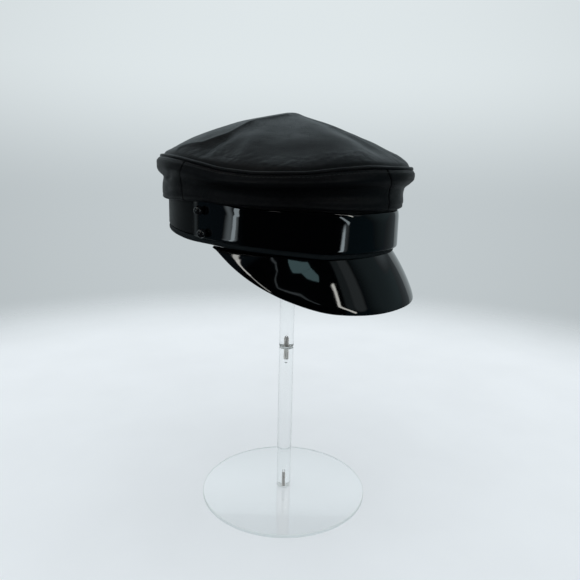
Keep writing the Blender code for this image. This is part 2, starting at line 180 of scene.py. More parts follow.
TOP_ROWS = (
    TopRow(0.00, 0.000, 0.000),
    TopRow(0.03, 0.003, 0.003),
    TopRow(0.06, 0.018, 0.016),
    TopRow(0.12, 0.072, 0.044),
    TopRow(0.25, 0.170, 0.115),
    TopRow(0.40, 0.290, 0.215),
    TopRow(0.55, 0.425, 0.350),
    TopRow(0.70, 0.565, 0.500),
    TopRow(0.83, 0.720, 0.680),
    TopRow(0.93, 0.845, 0.850),
    TopRow(0.975, 0.925, 0.925),
    TopRow(1.00, 1.000, 1.000),
)
STRAP_ROWS = (
    StrapRow(0, 0.0010),
    StrapRow(17, 0.0012),
    StrapRow(30, 0.0013),
    StrapRow(45, 0.0016),
    StrapRow(60, 0.0015),
    StrapRow(70, 0.0008),
    StrapRow(80, -0.0008),
    StrapRow(92, -0.0030),
    StrapRow(180, -0.0030),
)
SEAM_ROWS = (
    SeamRow(0.00, 10.0, -7.0),
    SeamRow(0.10, 9.7, -6.4),
    SeamRow(0.20, 8.5, -5.5),
    SeamRow(0.32, 6.4, -3.4),
    SeamRow(0.42, 4.2, -1.1),
    SeamRow(0.50, 3.1, 0.3),
    SeamRow(0.60, 2.7, 1.1),
    SeamRow(0.80, 2.4, 0.4),
    SeamRow(1.00, 2.2, -1.5),
)

# Folds of the crown's top, as shares of its rise. The first four stand where the solids have two broad
# hollows, the next nine are the solids' own, and the rest are finer ones that the solids leave out.
TOP_FOLDS = (
    Fold(96, 6, 0.91, 0.08, -0.028),
    Fold(93, 9, 0.78, 0.17, -0.035),
    Fold(84, 6, 0.88, 0.10, -0.025),
    Fold(131, 9, 0.84, 0.16, -0.035),
    Fold(72, 10, 0.75, 0.30, 0.030),
    Fold(48, 14, 0.85, 0.18, -0.045),
    Fold(24, 10, 0.65, 0.35, 0.040),
    Fold(2, 7, 0.80, 0.18, -0.030),
    Fold(-36, 18, 0.93, 0.12, 0.100),
    Fold(-52, 12, 0.60, 0.22, -0.045),
    Fold(-85, 14, 0.80, 0.25, -0.045),
    Fold(-130, 12, 0.75, 0.30, 0.030),
    Fold(165, 14, 0.80, 0.25, -0.035),
    Fold(-3, 5.0, 0.62, 0.40, 0.030),
    Fold(5, 4.5, 0.76, 0.24, -0.026),
    Fold(84, 4.0, 0.82, 0.14, 0.022),
    Fold(77, 3.5, 0.86, 0.12, -0.018),
    Fold(15, 4.0, 0.84, 0.13, 0.018),
    Fold(-105, 4.0, 0.62, 0.40, 0.016),
    Fold(180, 4.0, 0.62, 0.40, 0.014),
)

# Sharp ridges and creases of the crown's top, in metres, which the solids leave out too.
TOP_RIDGES = (
    Ridge(((63, 0.12), (95, 0.38), (93, 0.67), (100, 0.855), (112, 0.96)), 0.0026, 0.0013),
    Ridge(((95, 0.46), (93, 0.67), (100, 0.855), (112, 0.96)), 0.0070, 0.0013),
    Ridge(((90, 0.74), (92, 0.84), (91, 0.94)), 0.0034, -0.0013),
    Ridge(((89, 0.80), (86, 0.92)), 0.0016, 0.0006),
    Ridge(((84, 0.82), (80, 0.92)), 0.0014, -0.0004),
    Ridge(((-2, 0.51), (-4, 0.72), (-9, 0.96)), 0.0020, -0.0008),
)

# Folds of the crown's wall, as shares of its overhang.
WALL_FOLDS = (
    Fold(50, 36, 0.38, 0.11, 0.20),
    Fold(60, 28, 0.68, 0.09, -0.09),
    Fold(28, 20, 0.66, 0.08, -0.07),
    Fold(74, 14, 0.30, 0.04, 0.06, 0.003),
    Fold(36, 16, 0.27, 0.04, 0.05, -0.002),
    Fold(90, 7, 0.50, 0.10, 0.07, 0.010),
    Fold(116, 8, 0.42, 0.07, -0.08, 0.014),
    Fold(126, 8, 0.66, 0.08, -0.07, -0.012),
    Fold(118, 10, 0.80, 0.09, 0.05, 0.000),
    Fold(142, 10, 0.50, 0.08, -0.07, 0.010),
    Fold(160, 9, 0.70, 0.09, 0.07, -0.008),
    Fold(-78, 14, 0.66, 0.10, 0.06, 0.004),
    Fold(-118, 9, 0.44, 0.07, -0.08, -0.012),
    Fold(-140, 10, 0.68, 0.09, -0.07, 0.010),
    Fold(-165, 9, 0.52, 0.09, -0.07, 0.006),
)


class SmoothTable:
    """A column of a table, read on a cubic that never swings past its rows."""

    def __init__(self, places: Sequence[float], values: Sequence[float], level_ends: bool) -> None:
        """Works out the slope at each row.

        Args:
            places: Where the rows are, in rising order.
            values: The column's value at each row.
            level_ends: True where the curve runs level at both ends.
        """
        self.places = list(places)
        self.values = list(values)
        slopes = [
            (self.values[i + 1] - self.values[i]) / (self.places[i + 1] - self.places[i])
            for i in range(len(self.places) - 1)
        ]
        self.tangents = [0.0 if level_ends else slopes[0]]
        for before, after in zip(slopes, slopes[1:]):
            steady = before * after > 0.0
            self.tangents.append(2.0 * before * after / (before + after) if steady else 0.0)
        self.tangents.append(0.0 if level_ends else slopes[-1])

    def __call__(self, position: float) -> float:
        """Returns the column's value at a position."""
        position = min(max(position, self.places[0]), self.places[-1])
        index = min(bisect_right(self.places, position) - 1, len(self.places) - 2)
        span = self.places[index + 1] - self.places[index]
        t = (position - self.places[index]) / span
        start, end = self.values[index], self.values[index + 1]
        pull_start, pull_end = self.tangents[index] * span, self.tangents[index + 1] * span
        rise = (3.0 - 2.0 * t) * t * t
        return start + (end - start) * rise + pull_start * t * (1.0 - t) ** 2 - pull_end * t * t * (1.0 - t)


def table_columns(rows: Sequence[NamedTuple], level_ends: bool) -> dict[str, SmoothTable]:
    """Makes a smooth table of each column after the first.

    Args:
        rows: The table's rows. Their first column is the position.
        level_ends: True where the curves run level at both ends.

    Returns:
        The smooth tables by column name.
    """
    places = [row[0] for row in rows]
    names = rows[0]._fields[1:]
    return {name: SmoothTable(places, [getattr(row, name) for row in rows], level_ends) for name in names}


def turn_between(angle_deg: float, middle_deg: float) -> float:
    """Returns the signed turn from one angle to another, within half a circle."""
    return (angle_deg - middle_deg + 180.0) % 360.0 - 180.0


def smooth_step(low: float, high: float, value: float) -> float:
    """Returns 0 below low and 1 above high, with a smooth rise between them."""
    t = min(max((value - low) / (high - low), 0.0), 1.0)
    return (3.0 - 2.0 * t) * t * t


def fold_sum(folds: Sequence[Fold], angle_deg: float, place: float) -> float:
    """Adds up the folds at a point.

    Args:
        folds: The folds of one piece of leather.
        angle_deg: The angle round the cap.
        place: The share of the way out or down.

    Returns:
        The height, as a share of the size that the folds follow.
    """
    total = 0.0
    for fold in folds:
        turn = turn_between(angle_deg, fold.angle_deg)
        across = turn / fold.width_deg
        along = (place - fold.place - fold.slant * turn) / fold.reach
        squared = across * across + along * along
        if squared < FOLD_FAR_SQUARED:
            total += fold.height * math.exp(-squared)
    return total


@dataclass
class CapShape:
    """The cap's main form: its plan, and its heights round the head."""

    half_length: float
    half_width: float
    setback: float
    crown_tip: float
    crown_rise: float = 0.0446
    crown_overhang: float = 0.0122
    wall_height: float = 0.0282
    height_under_crown: float = 0.0362
    tilt_rise: float = 0.0136
    welt_radius: float = 0.0028
    piping_radius: float = 0.0015
    piping_overhang: float = 0.0101
    clearance: float = 0.0003
    heights: dict[str, SmoothTable] = field(default_factory=lambda: table_columns(HEIGHT_ROWS, True))
    walls: dict[str, SmoothTable] = field(default_factory=lambda: table_columns(WALL_ROWS, False))
    tops: dict[str, SmoothTable] = field(default_factory=lambda: table_columns(TOP_ROWS, False))
    straps: dict[str, SmoothTable] = field(default_factory=lambda: table_columns(STRAP_ROWS, True))
    seams: dict[str, SmoothTable] = field(default_factory=lambda: table_columns(SEAM_ROWS, False))

    @classmethod
    def from_frame(cls) -> CapShape:
        """Returns the form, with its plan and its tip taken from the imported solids."""
        low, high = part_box("head_band")
        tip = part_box("crown_top")[1].z
        return cls((high.y - low.y) / 2.0, (high.x - low.x) / 2.0, (high.y + low.y) / 2.0, tip)

    def share(self, column: str, angle_deg: float) -> float:
        """Returns a share from the table of heights round the cap."""
        return self.heights[column](abs(turn_between(angle_deg, 0.0)))

    def point(self, angle_deg: float, stand_off: float, height: float) -> Vector:
        """Returns a point at a stand-off from the head band's outer face."""
        angle = math.radians(angle_deg)
        length = self.half_length + stand_off
        width = self.half_width + stand_off
        radius = 1.0 / math.hypot(math.cos(angle) / length, math.sin(angle) / width)
        return Vector((-radius * math.sin(angle), self.setback - radius * math.cos(angle), height))

    def angle_of(self, spot: Vector) -> float:
        """Returns the angle round the cap of a point."""
        return math.degrees(math.atan2(-spot.x, self.setback - spot.y))

    def away(self, spot: Vector) -> Vector:
        """Returns the level direction from the middle of the head to a point."""
        return Vector((spot.x, spot.y - self.setback, 0.0))

    def outward(self, angle_deg: float) -> Vector:
        """Returns the level direction straight out of the head band."""
        spot = self.point(angle_deg, 0.0, 0.0)
        across = spot.x / self.half_width**2
        along = (spot.y - self.setback) / self.half_length**2
        return Vector((across, along, 0.0)).normalized()

    def rim_height(self, angle_deg: float) -> float:
        """Returns the height of the seam under the rim's piping."""
        return self.crown_tip - self.crown_rise * self.share("rim_drop", angle_deg)

    def tuck_height(self, angle_deg: float) -> float:
        """Returns the height of the crown wall's lower edge."""
        front_rim = self.crown_tip - self.crown_rise
        return front_rim - self.wall_height * self.share("tuck_drop", angle_deg)

    def strap_top(self, angle_deg: float) -> float:
        """Returns the height of the strap's upper edge."""
        return self.tuck_height(angle_deg) - self.straps["drop"](abs(turn_between(angle_deg, 0.0)))

    def welt_foot(self, angle_deg: float) -> float:
        """Returns the height of the welt's underside."""
        front = self.crown_tip - self.crown_rise - self.wall_height - self.height_under_crown
        return front + self.tilt_rise * self.share("tilt", angle_deg)

    def piping_stand_off(self, angle_deg: float) -> float:
        """Returns how far the middle of the rim's piping stands off the band."""
        return self.piping_overhang * self.share("piping", angle_deg)

    def wall_stand_off(self, angle_deg: float, down: float) -> float:
        """Returns the crown wall's stand-off, a share of the way down."""
        turn = abs(turn_between(angle_deg, 0.0)) / 90.0
        names = ("front", "side") if turn < 1.0 else ("side", "back")
        near, far = (self.walls[name](down) for name in names)
        share = near + (far - near) * smooth_step(0.0, 1.0, turn % 1.0 if turn < 2.0 else 1.0)
        return self.crown_overhang * self.share("overhang", angle_deg) * share


class NodeHand:
    """Places and joins the nodes of one shader tree."""

    def __init__(self, tree: NodeTree) -> None:
        """Keeps the tree that the nodes go into."""
        self.tree = tree

    def feed(self, node: bpy.types.Node, **sockets: object) -> None:
        """Sets a node's inputs, or joins them to other nodes.

        Args:
            node: The node.
            **sockets: Values or other nodes' outputs for its inputs. An underscore stands for a space,
                and in_0 for the first input. A colour has three channels.
        """
        for name, value in sockets.items():
            socket = node.inputs[int(name[3:]) if name.startswith("in_") else name.replace("_", " ")]
            if isinstance(value, Socket):
                self.tree.links.new(value, socket)
            else:
                socket.default_value = (*value, 1.0) if socket.type == "RGBA" else value

    def add(self, kind: str, settings: dict | None = None, **sockets: object) -> bpy.types.Node:
        """Adds a node.

        Args:
            kind: The node's type name, without its ShaderNode prefix.
            settings: Values for the node's own properties.
            **sockets: Its inputs, as for feed.

        Returns:
            The new node.
        """
        node = self.tree.nodes.new(f"ShaderNode{kind}")
        for name, value in (settings or {}).items():
            setattr(node, name, value)
        self.feed(node, **sockets)
        return node

    def spot(self) -> Socket:
        """Adds the object's own coordinates and returns them."""
        return self.add("TexCoord").outputs["Object"]

    def math(self, operation: str, first: object, second: object = 0.5) -> Socket:
        """Adds a math node and returns its output."""
        return self.add("Math", {"operation": operation}, in_0=first, in_1=second).outputs[0]

    def vector(self, operation: str, first: object, second: object) -> Socket:
        """Adds a vector math node and returns its vector, or its number where it makes one."""
        node = self.add("VectorMath", {"operation": operation}, in_0=first)
        self.feed(node, **{"Scale" if operation == "SCALE" else "in_1": second})
        return node.outputs["Value" if operation in ("DOT_PRODUCT", "DISTANCE") else "Vector"]

    def spread(self, value: object, low: float, high: float, to_low: float = 0.0, to_high: float = 1.0,
               smooth: bool = False) -> Socket:
        """Adds a node that maps one range of values to another, and returns its output."""
        settings = {"interpolation_type": "SMOOTHSTEP" if smooth else "LINEAR"}
        return self.add("MapRange", settings, Value=value, From_Min=low, From_Max=high, To_Min=to_low,
                        To_Max=to_high).outputs[0]

    def noise(self, vector: object, scale: float, detail: float) -> Socket:
        """Adds a noise texture and returns its value."""
        return self.add("TexNoise", Vector=vector, Scale=scale, Detail=detail).outputs[0]

    def mix(self, factor: object, first: object, second: object) -> Socket:
        """Adds a colour mix and returns its colour."""
        return self.add("Mix", {"data_type": "RGBA"}, in_0=factor, in_6=first, in_7=second).outputs[2]

    def bump(self, depth: float, height: object, strength: float = 1.0) -> Socket:
        """Adds a bump node and returns its normal."""
        return self.add("Bump", Strength=strength, Distance=depth, Height=height).outputs[0]


def new_group(name: str, inputs: dict[str, float],
              outputs: Iterable[str]) -> tuple[NodeHand, dict, bpy.types.Node]:
    """Starts a shader node group.

    Args:
        name: The group's name.
        inputs: Its input sockets, with their default values.
        outputs: Its output sockets.

    Returns:
        A hand for its nodes, its inputs' sockets by name, and the node that takes its outputs.
    """
    tree = bpy.data.node_groups.new(name, "ShaderNodeTree")
    for socket, value in inputs.items():
        tree.interface.new_socket(socket, in_out="INPUT", socket_type="NodeSocketFloat").default_value = value
    for socket in outputs:
        tree.interface.new_socket(socket, in_out="OUTPUT", socket_type="NodeSocketFloat")
    start = tree.nodes.new("NodeGroupInput")
    return NodeHand(tree), {s.name: s for s in start.outputs}, tree.nodes.new("NodeGroupOutput")


def leather_grain_group() -> NodeTree:
    """Returns the pebbled grain, fine creases and broad tone of a hide."""
    inputs = {"Cells Per Metre": 900.0, "Creases": 0.5}
    hand, given, end = new_group("Leather grain", inputs, ("Height", "Crease Mask", "Tone"))
    where = hand.spot()
    wobble = hand.add("TexNoise", Vector=where, Scale=700.0, Detail=2.0).outputs["Color"]
    bent = hand.vector("ADD", where, hand.vector("SCALE", wobble, 0.0008))
    edges = {"feature": "DISTANCE_TO_EDGE"}
    fine = hand.add("TexVoronoi", edges, Vector=bent, Scale=given["Cells Per Metre"])
    coarse_scale = hand.math("MULTIPLY", given["Cells Per Metre"], 0.22)
    coarse = hand.add("TexVoronoi", edges, Vector=bent, Scale=coarse_scale)
    pebble = hand.spread(fine.outputs[0], 0.0, 0.22, smooth=True)
    crease = hand.spread(coarse.outputs[0], 0.0, 0.07, 1.0, 0.0, smooth=True)
    patches = hand.spread(hand.noise(where, scale=60.0, detail=2.0), 0.45, 0.65)
    crease_mask = hand.math("MULTIPLY", hand.math("MULTIPLY", crease, patches), given["Creases"])
    pores = hand.noise(where, scale=3200.0, detail=2.0)
    height = hand.math("ADD", hand.math("MULTIPLY", pebble, 0.35), hand.math("MULTIPLY", pores, 0.25))
    height = hand.math("SUBTRACT", height, crease_mask)
    hand.feed(end, Height=height, Crease_Mask=crease_mask, Tone=hand.noise(where, scale=28.0, detail=3.0))
    return hand.tree


def dust_group() -> NodeTree:
    """Returns sparse specks of dust on upward faces."""
    hand, given, end = new_group("Dust", {"Amount": 0.3}, ("Mask",))
    where = hand.spot()
    specks = hand.add("TexVoronoi", {"feature": "F1"}, Vector=where, Scale=260.0, Randomness=1.0)
    size = hand.spread(hand.noise(where, scale=90.0, detail=1.0), 0.5, 0.75, 0.0, 0.075)
    speck = hand.math("LESS_THAN", specks.outputs["Distance"], size)
    up = hand.add("SeparateXYZ", in_0=hand.add("NewGeometry").outputs["Normal"]).outputs[2]
    facing = hand.spread(up, 0.1, 0.8, 0.15, 1.0)
    hand.feed(end, Mask=hand.math("MULTIPLY", hand.math("MULTIPLY", speck, facing), given["Amount"]))
    return hand.tree


def ripple_group() -> NodeTree:
    """Returns the slight unevenness of a lacquered hide, which bends its reflections."""
    hand, given, end = new_group("Lacquer ripple", {"Fine Share": 0.12, "Peel Share": 0.05}, ("Height",))
    where = hand.spot()
    height = hand.noise(where, scale=48.0, detail=1.0)
    for share, scale, detail in (("Fine Share", 230.0, 1.5), ("Peel Share", 1300.0, 1.0)):
        swing = hand.math("MULTIPLY", hand.noise(where, scale, detail), given[share])
        height = hand.math("ADD", height, swing)
    hand.feed(end, Height=height)
    return hand.tree


class Groups:
    """The shader node groups, each built once."""

    grain: NodeTree
    dust: NodeTree
    ripple: NodeTree

    @classmethod
    def build(cls) -> None:
        """Builds all the groups."""
        cls.grain = leather_grain_group()
        cls.dust = dust_group()
        cls.ripple = ripple_group()


def start_material(name: str) -> tuple[Material, NodeHand, bpy.types.Node]:
    """Returns a new material, a hand for its nodes, and its Principled shader."""
    material = bpy.data.materials.new(name)
    material.use_nodes = True
    shader = material.node_tree.nodes["Principled BSDF"]
    return material, NodeHand(material.node_tree), shader


def let_light_through(hand: NodeHand, shader: bpy.types.Node) -> None:
    """Lets shadow rays and diffuse rays pass, so that a clear piece throws no dark shadow."""
    path = hand.add("LightPath").outputs
    passing = hand.math("MAXIMUM", path["Is Shadow Ray"], path["Is Diffuse Ray"])
    hand.feed(shader, Alpha=hand.math("SUBTRACT", 1.0, passing))


@dataclass(frozen=True)
class Finish:
    """What all finishes have: a name and a main colour."""

    name: str
    colour: Colour


@dataclass(frozen=True)
class LeatherFinish(Finish):
    """Satin leather with a fine grain."""

    worn_colour: Colour
    roughness: float
    roughness_swing: float = 0.05
    crease_roughness: float = 0.12
    cells_per_metre: float = 900.0
    creases: float = 0.5
    grain_depth: float = 0.00012
    dust: float = 0.25
    dust_colour: Colour = (0.16, 0.16, 0.17)
    index: float = 1.27

    def material(self) -> Material:
        """Builds the material."""
        material, hand, shader = start_material(self.name)
        grain = hand.add("Group", {"node_tree": Groups.grain}, Cells_Per_Metre=self.cells_per_metre,
                         Creases=self.creases).outputs
        dust = hand.add("Group", {"node_tree": Groups.dust}, Amount=self.dust).outputs["Mask"]
        colour = hand.mix(hand.spread(grain["Tone"], 0.3, 0.7), self.colour, self.worn_colour)
        dusty = hand.mix(dust, colour, self.dust_colour)
        least, most = self.roughness - self.roughness_swing, self.roughness + self.roughness_swing
        rough = hand.spread(grain["Tone"], 0.3, 0.7, least, most)
        rough = hand.math("ADD", rough, hand.math("MULTIPLY", grain["Crease Mask"], self.crease_roughness))
        hand.feed(shader, Base_Color=dusty, Roughness=rough, IOR=self.index,
                  Normal=hand.bump(self.grain_depth, grain["Height"]))
        return material


@dataclass(frozen=True)
class PatentFinish(Finish):
    """Lacquered leather, nearly a mirror."""

    roughness: float
    ripple_depth: float
    fine_share: float
    peel_share: float = 0.05
    smear_roughness: float = 0.05
    dust: float = 0.12
    dust_colour: Colour = (0.2, 0.2, 0.2)
    index: float = 1.52

    def material(self) -> Material:
        """Builds the material."""
        material, hand, shader = start_material(self.name)
        ripple = hand.add("Group", {"node_tree": Groups.ripple}, Fine_Share=self.fine_share,
                          Peel_Share=self.peel_share).outputs["Height"]
        dust = hand.add("Group", {"node_tree": Groups.dust}, Amount=self.dust).outputs["Mask"]
        smear = hand.noise(hand.spot(), scale=35.0, detail=4.0)
        rough = hand.spread(smear, 0.35, 0.75, self.roughness, self.roughness + self.smear_roughness)
        rough = hand.math("ADD", rough, hand.math("MULTIPLY", dust, 0.5))
        hand.feed(shader, Base_Color=hand.mix(dust, self.colour, self.dust_colour), Roughness=rough,
                  Normal=hand.bump(self.ripple_depth, ripple), IOR=self.index)
        return material


@dataclass(frozen=True)
class ClearFinish(Finish):
    """Polished clear acrylic."""

    handled_roughness: float = 0.035
    index: float = 1.49

    def material(self) -> Material:
        """Builds the material."""
        material, hand, shader = start_material(self.name)
        handled = hand.noise(hand.spot(), scale=40.0, detail=3.0)
        rough = hand.spread(handled, 0.5, 0.8, 0.0, self.handled_roughness)
        let_light_through(hand, shader)
        hand.feed(shader, Roughness=rough, Base_Color=self.colour, Transmission_Weight=1.0, IOR=self.index)
        return material


@dataclass(frozen=True)
class SawnFinish(Finish):
    """Acrylic left rough by the saw, which scatters the light."""

    roughness: float = 0.50
    roughness_swing: float = 0.08
    dim_share: float = 0.88

    def material(self) -> Material:
        """Builds the material."""
        material, hand, shader = start_material(self.name)
        marks = hand.noise(hand.spot(), scale=1800.0, detail=2.0)
        dim = tuple(channel * self.dim_share for channel in self.colour)
        colour = hand.mix(hand.spread(marks, 0.35, 0.65), self.colour, dim)
        least, most = self.roughness - self.roughness_swing, self.roughness + self.roughness_swing
        hand.feed(shader, Base_Color=colour, Roughness=hand.spread(marks, 0.3, 0.7, least, most))
        let_light_through(hand, shader)
        return material


@dataclass(frozen=True)
class MetalFinish(Finish):
    """Bright turned steel."""

    roughness: float
    roughness_swing: float = 0.08
    lathe_marks: tuple[float, float, float] = (300.0, 300.0, 6000.0)

    def material(self) -> Material:
        """Builds the material."""
        material, hand, shader = start_material(self.name)
        stretched = hand.add("Mapping", in_0=hand.spot(), Scale=self.lathe_marks).outputs[0]
        lathe = hand.noise(stretched, scale=1.0, detail=2.0)
        least, most = self.roughness - self.roughness_swing, self.roughness + self.roughness_swing
        hand.feed(shader, Roughness=hand.spread(lathe, 0.3, 0.7, least, most), Base_Color=self.colour,
                  Metallic=1.0)
        return material


@dataclass(frozen=True)
class PlasticFinish(Finish):
    """Glossy moulded plastic."""

    roughness: float
    scuff_roughness: float = 0.12
    bump_depth: float = 0.00005

    def material(self) -> Material:
        """Builds the material."""
        material, hand, shader = start_material(self.name)
        where = hand.spot()
        scuffs = hand.noise(where, scale=500.0, detail=4.0)
        scuffs = hand.spread(scuffs, 0.45, 0.75, 0.0, self.scuff_roughness)
        grain = hand.noise(where, scale=900.0, detail=2.0)
        hand.feed(shader, Roughness=hand.math("ADD", scuffs, self.roughness), Base_Color=self.colour,
                  Normal=hand.bump(self.bump_depth, grain, strength=0.3))
        return material


@dataclass(frozen=True)
class ThreadFinish(Finish):
    """Waxed sewing thread."""

    roughness: Span = (0.45, 0.65)
    bump_depth: float = 0.00008

    def material(self) -> Material:
        """Builds the material."""
        material, hand, shader = start_material(self.name)
        fibre = hand.noise(hand.spot(), scale=4000.0, detail=2.0)
        hand.feed(shader, Roughness=hand.spread(fibre, 0.3, 0.7, *self.roughness), Base_Color=self.colour,
                  Normal=hand.bump(self.bump_depth, fibre, strength=0.6))
        return material


SOFT_LEATHER = LeatherFinish("Soft leather", (0.0012, 0.0014, 0.0021), (0.0020, 0.0022, 0.0030), 0.44,
                             creases=0.9, grain_depth=0.00017)
SMOOTH_LEATHER = LeatherFinish("Smooth leather", (0.0016, 0.0022, 0.0027), (0.0026, 0.0032, 0.0037), 0.44,
                               cells_per_metre=1300.0, creases=0.2, grain_depth=0.00006)
# The welt's leather is several times lighter than the band's smooth leather. This is painted light: the
# lighter colour stands in for the bright floor that the rolled welt mirrors.
PAINTED_LIT_WELT_LEATHER = LeatherFinish("Welt leather, painted lighter", (0.0050, 0.0080, 0.0096), (0.0070, 0.0105, 0.0122), 0.60,
                               cells_per_metre=1300.0, creases=0.2, grain_depth=0.00006, index=1.22)
PATENT = PatentFinish("Patent leather", (0.0003, 0.0004, 0.0006), 0.02, 0.00005, 0.10, dust=0.08)
BUTTON_BLACK = PlasticFinish("Button black", (0.003, 0.003, 0.0035), 0.12)
THREAD_BLACK = ThreadFinish("Black thread", (0.006, 0.006, 0.007))
CLEAR_ACRYLIC = ClearFinish("Clear acrylic", (0.985, 0.995, 0.993))
SAWN_EDGE = SawnFinish("Sawn acrylic edge", (0.80, 0.85, 0.86))
SAWN_JOINT = SawnFinish("Sawn acrylic joint", (0.78, 0.82, 0.81))
STUD_STEEL = MetalFinish("Stud steel", (0.86, 0.84, 0.81), 0.34)


def grid_piece(name: str, across: int, along: int, place: Place, outward: Facing) -> BMesh:
    """Makes a surface from a square grid, each point of which is moved to its place.

    Args:
        name: The piece's name, for the log.
        across: Faces along the first direction.
        along: Faces along the second direction.
        place: Gives the place of a point from its two shares of the way.
        outward: Gives the direction that a face at a point should roughly look in.

    Returns:
        The mesh, with its doubled points merged and its faces looking outward.
    """
    shape = bmesh.new()
    shape.loops.layers.uv.new("UVMap")
    bmesh.ops.create_grid(shape, x_segments=across, y_segments=along, size=0.5, calc_uvs=True)
    for vertex in shape.verts:
        vertex.co = place(vertex.co.x + 0.5, vertex.co.y + 0.5)
    bmesh.ops.remove_doubles(shape, verts=shape.verts, dist=GRID_MERGE)
    shape.normal_update()
    lean = sum(face.normal.dot(outward(face.calc_center_median())) for face in shape.faces)
    if lean < 0.0:
        bmesh.ops.reverse_faces(shape, faces=shape.faces)
    LOG.debug("%s: %d faces", name, len(shape.faces))
    return shape


def turned_mesh(profile: Sequence[tuple[float, float]], steps: int) -> BMesh:
    """Makes a turned solid.

    Args:
        profile: Radii and heights from the axis over the outside and back to the axis.
        steps: The number of faces round the axis.

    Returns:
        The mesh, with its doubled points merged and its faces looking outward.
    """
    shape = bmesh.new()
    ring = [shape.verts.new((radius, 0.0, height)) for radius, height in profile]
    edges = [shape.edges.new(pair) for pair in zip(ring, ring[1:])]
    bmesh.ops.spin(shape, geom=[*ring, *edges], cent=(0, 0, 0), axis=(0, 0, 1), angle=math.tau, steps=steps,
                   use_merge=True)
    bmesh.ops.remove_doubles(shape, verts=shape.verts, dist=TURNED_MERGE)
    bmesh.ops.recalc_face_normals(shape, faces=shape.faces)
    return shape


def finish_piece(name: str, shape: BMesh, materials: Sequence[Material],
                 replaced: Sequence[str] = ()) -> bpy.types.Object:
    """Turns a mesh into a piece of the cap.

    Args:
        name: The piece's name.
        shape: Its mesh, which is freed.
        materials: Its materials, the outer one first.
        replaced: The CAD nodes that it stands for.

    Returns:
        The new object.
    """
    mesh = bpy.data.meshes.new(name)
    for face in shape.faces:
        face.smooth = True
    shape.to_mesh(mesh)
    shape.free()
    for material in materials:
        mesh.materials.append(material)
    piece = bpy.data.objects.new(name, mesh)
    bpy.context.scene.collection.objects.link(piece)
    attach(piece, BODY)
    if replaced:
        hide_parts(*replaced)
    LOG.info("%s: %d faces, for %s", name, len(mesh.polygons), ", ".join(replaced) or "no node")
    return piece


def thicken(piece: bpy.types.Object, thickness: float, edge: float, even: bool = True,
            inner_material: int = 0) -> None:
    """Gives an open surface its wall on the inner side, with rounded edges.

    Args:
        piece: The open surface.
        thickness: The wall's thickness.
        edge: The radius of its edges.
        even: True to keep the thickness even round bends.
        inner_material: How many slots further on the inner side's material is.
    """
    wall = piece.modifiers.new("Wall", "SOLIDIFY")
    wall.thickness = thickness
    wall.offset = -1.0
    wall.use_even_offset = even
    wall.material_offset = inner_material
    rounding = piece.modifiers.new("Edges", "BEVEL")
    rounding.width = edge
    rounding.segments = EDGE_SEGMENTS
    rounding.limit_method = "ANGLE"
    rounding.angle_limit = math.radians(EDGE_ANGLE_DEG)


def crowded(share: float, grid_share: float, length_share: float) -> float:
    """Draws grid lines together at both ends of a stretch.

    Args:
        share: The share of the way along the grid.
        grid_share: The share of the grid's lines at each end.
        length_share: The share of the real length that those lines take.

    Returns:
        The share of the way along the real length.
    """
    if share > 0.5:
        return 1.0 - crowded(1.0 - share, grid_share, length_share)
    if share < grid_share:
        return share / grid_share * length_share
    return length_share + (share - grid_share) / (0.5 - grid_share) * (0.5 - length_share)


def quarter_turn(distance: float, radius: float) -> float:
    """Returns how far a rounded edge of a radius falls back, at a distance from the edge."""
    if distance >= radius:
        return 0.0
    reach = 1.0 - distance / radius
    return radius * (1.0 - math.sqrt(max(1.0 - reach * reach, 0.0)))


class Wave(NamedTuple):
    """A wave of noise in the leather, with its rate per metre and its height."""

    rate: float
    height_mm: float


@dataclass(frozen=True)
class Fade:
    """Where a feature of the crown's top ends: near the tip and near the rim, as shares of the way."""

    tip: Span
    rim: Span

    def share(self, out: float) -> float:
        """Returns how much of the feature is left, a share of the way from the tip to the rim."""
        return smooth_step(*self.tip, out) * smooth_step(*self.rim, 1.0 - out)


@dataclass(frozen=True)
class Roll:
    """A round leather roll that runs round the cap, slightly puckered."""

    shape: CapShape
    middle: Callable[[float], tuple[float, float]]
    radius: float
    pucker: float
    puckers_round: float

    def point(self, around: float, turn: float) -> Vector:
        """Returns a point of the roll from its shares of the way round the cap and round its section."""
        angle, section = 360.0 * around, math.tau * turn
        across, up = math.cos(section), math.sin(section)
        pucker = self.pucker * noise.noise(Vector((around * self.puckers_round, across, up)))
        radius = self.radius * (1.0 + (pucker if 0.0 < around < 1.0 else 0.0))
        stand_off, height = self.middle(angle)
        return self.shape.point(angle, stand_off + radius * across, height + radius * up)

    def outward(self, spot: Vector) -> Vector:
        """Returns the direction from the roll's middle line to a point."""
        angle = self.shape.angle_of(spot)
        return spot - self.shape.point(angle, *self.middle(angle))


@dataclass
class Seam:
    """An upright seam of the crown's wall."""

    middle_deg: float
    lean: SmoothTable
    sign: float = 1.0

    def angle(self, down: float) -> float:
        """Returns the seam's angle, a share of the way down the wall."""
        return self.middle_deg + self.sign * self.lean(down)


@dataclass
class RidgeLine:
    """A ridge of the crown's top with its path in plan."""

    corners: list[Vector]
    half_width: float
    height: float
    crest_radius: float = 0.0007

    def rise(self, spot: Vector) -> float:
        """Returns the ridge's height over a point in plan."""
        nearest = math.inf
        for start, end in zip(self.corners, self.corners[1:]):
            along = end - start
            share = min(max((spot - start).dot(along) / along.length_squared, 0.0), 1.0)
            nearest = min(nearest, (spot - start - along * share).length)
        apart = math.hypot(nearest, self.crest_radius) - self.crest_radius
        return self.height * math.exp(-apart / self.half_width)


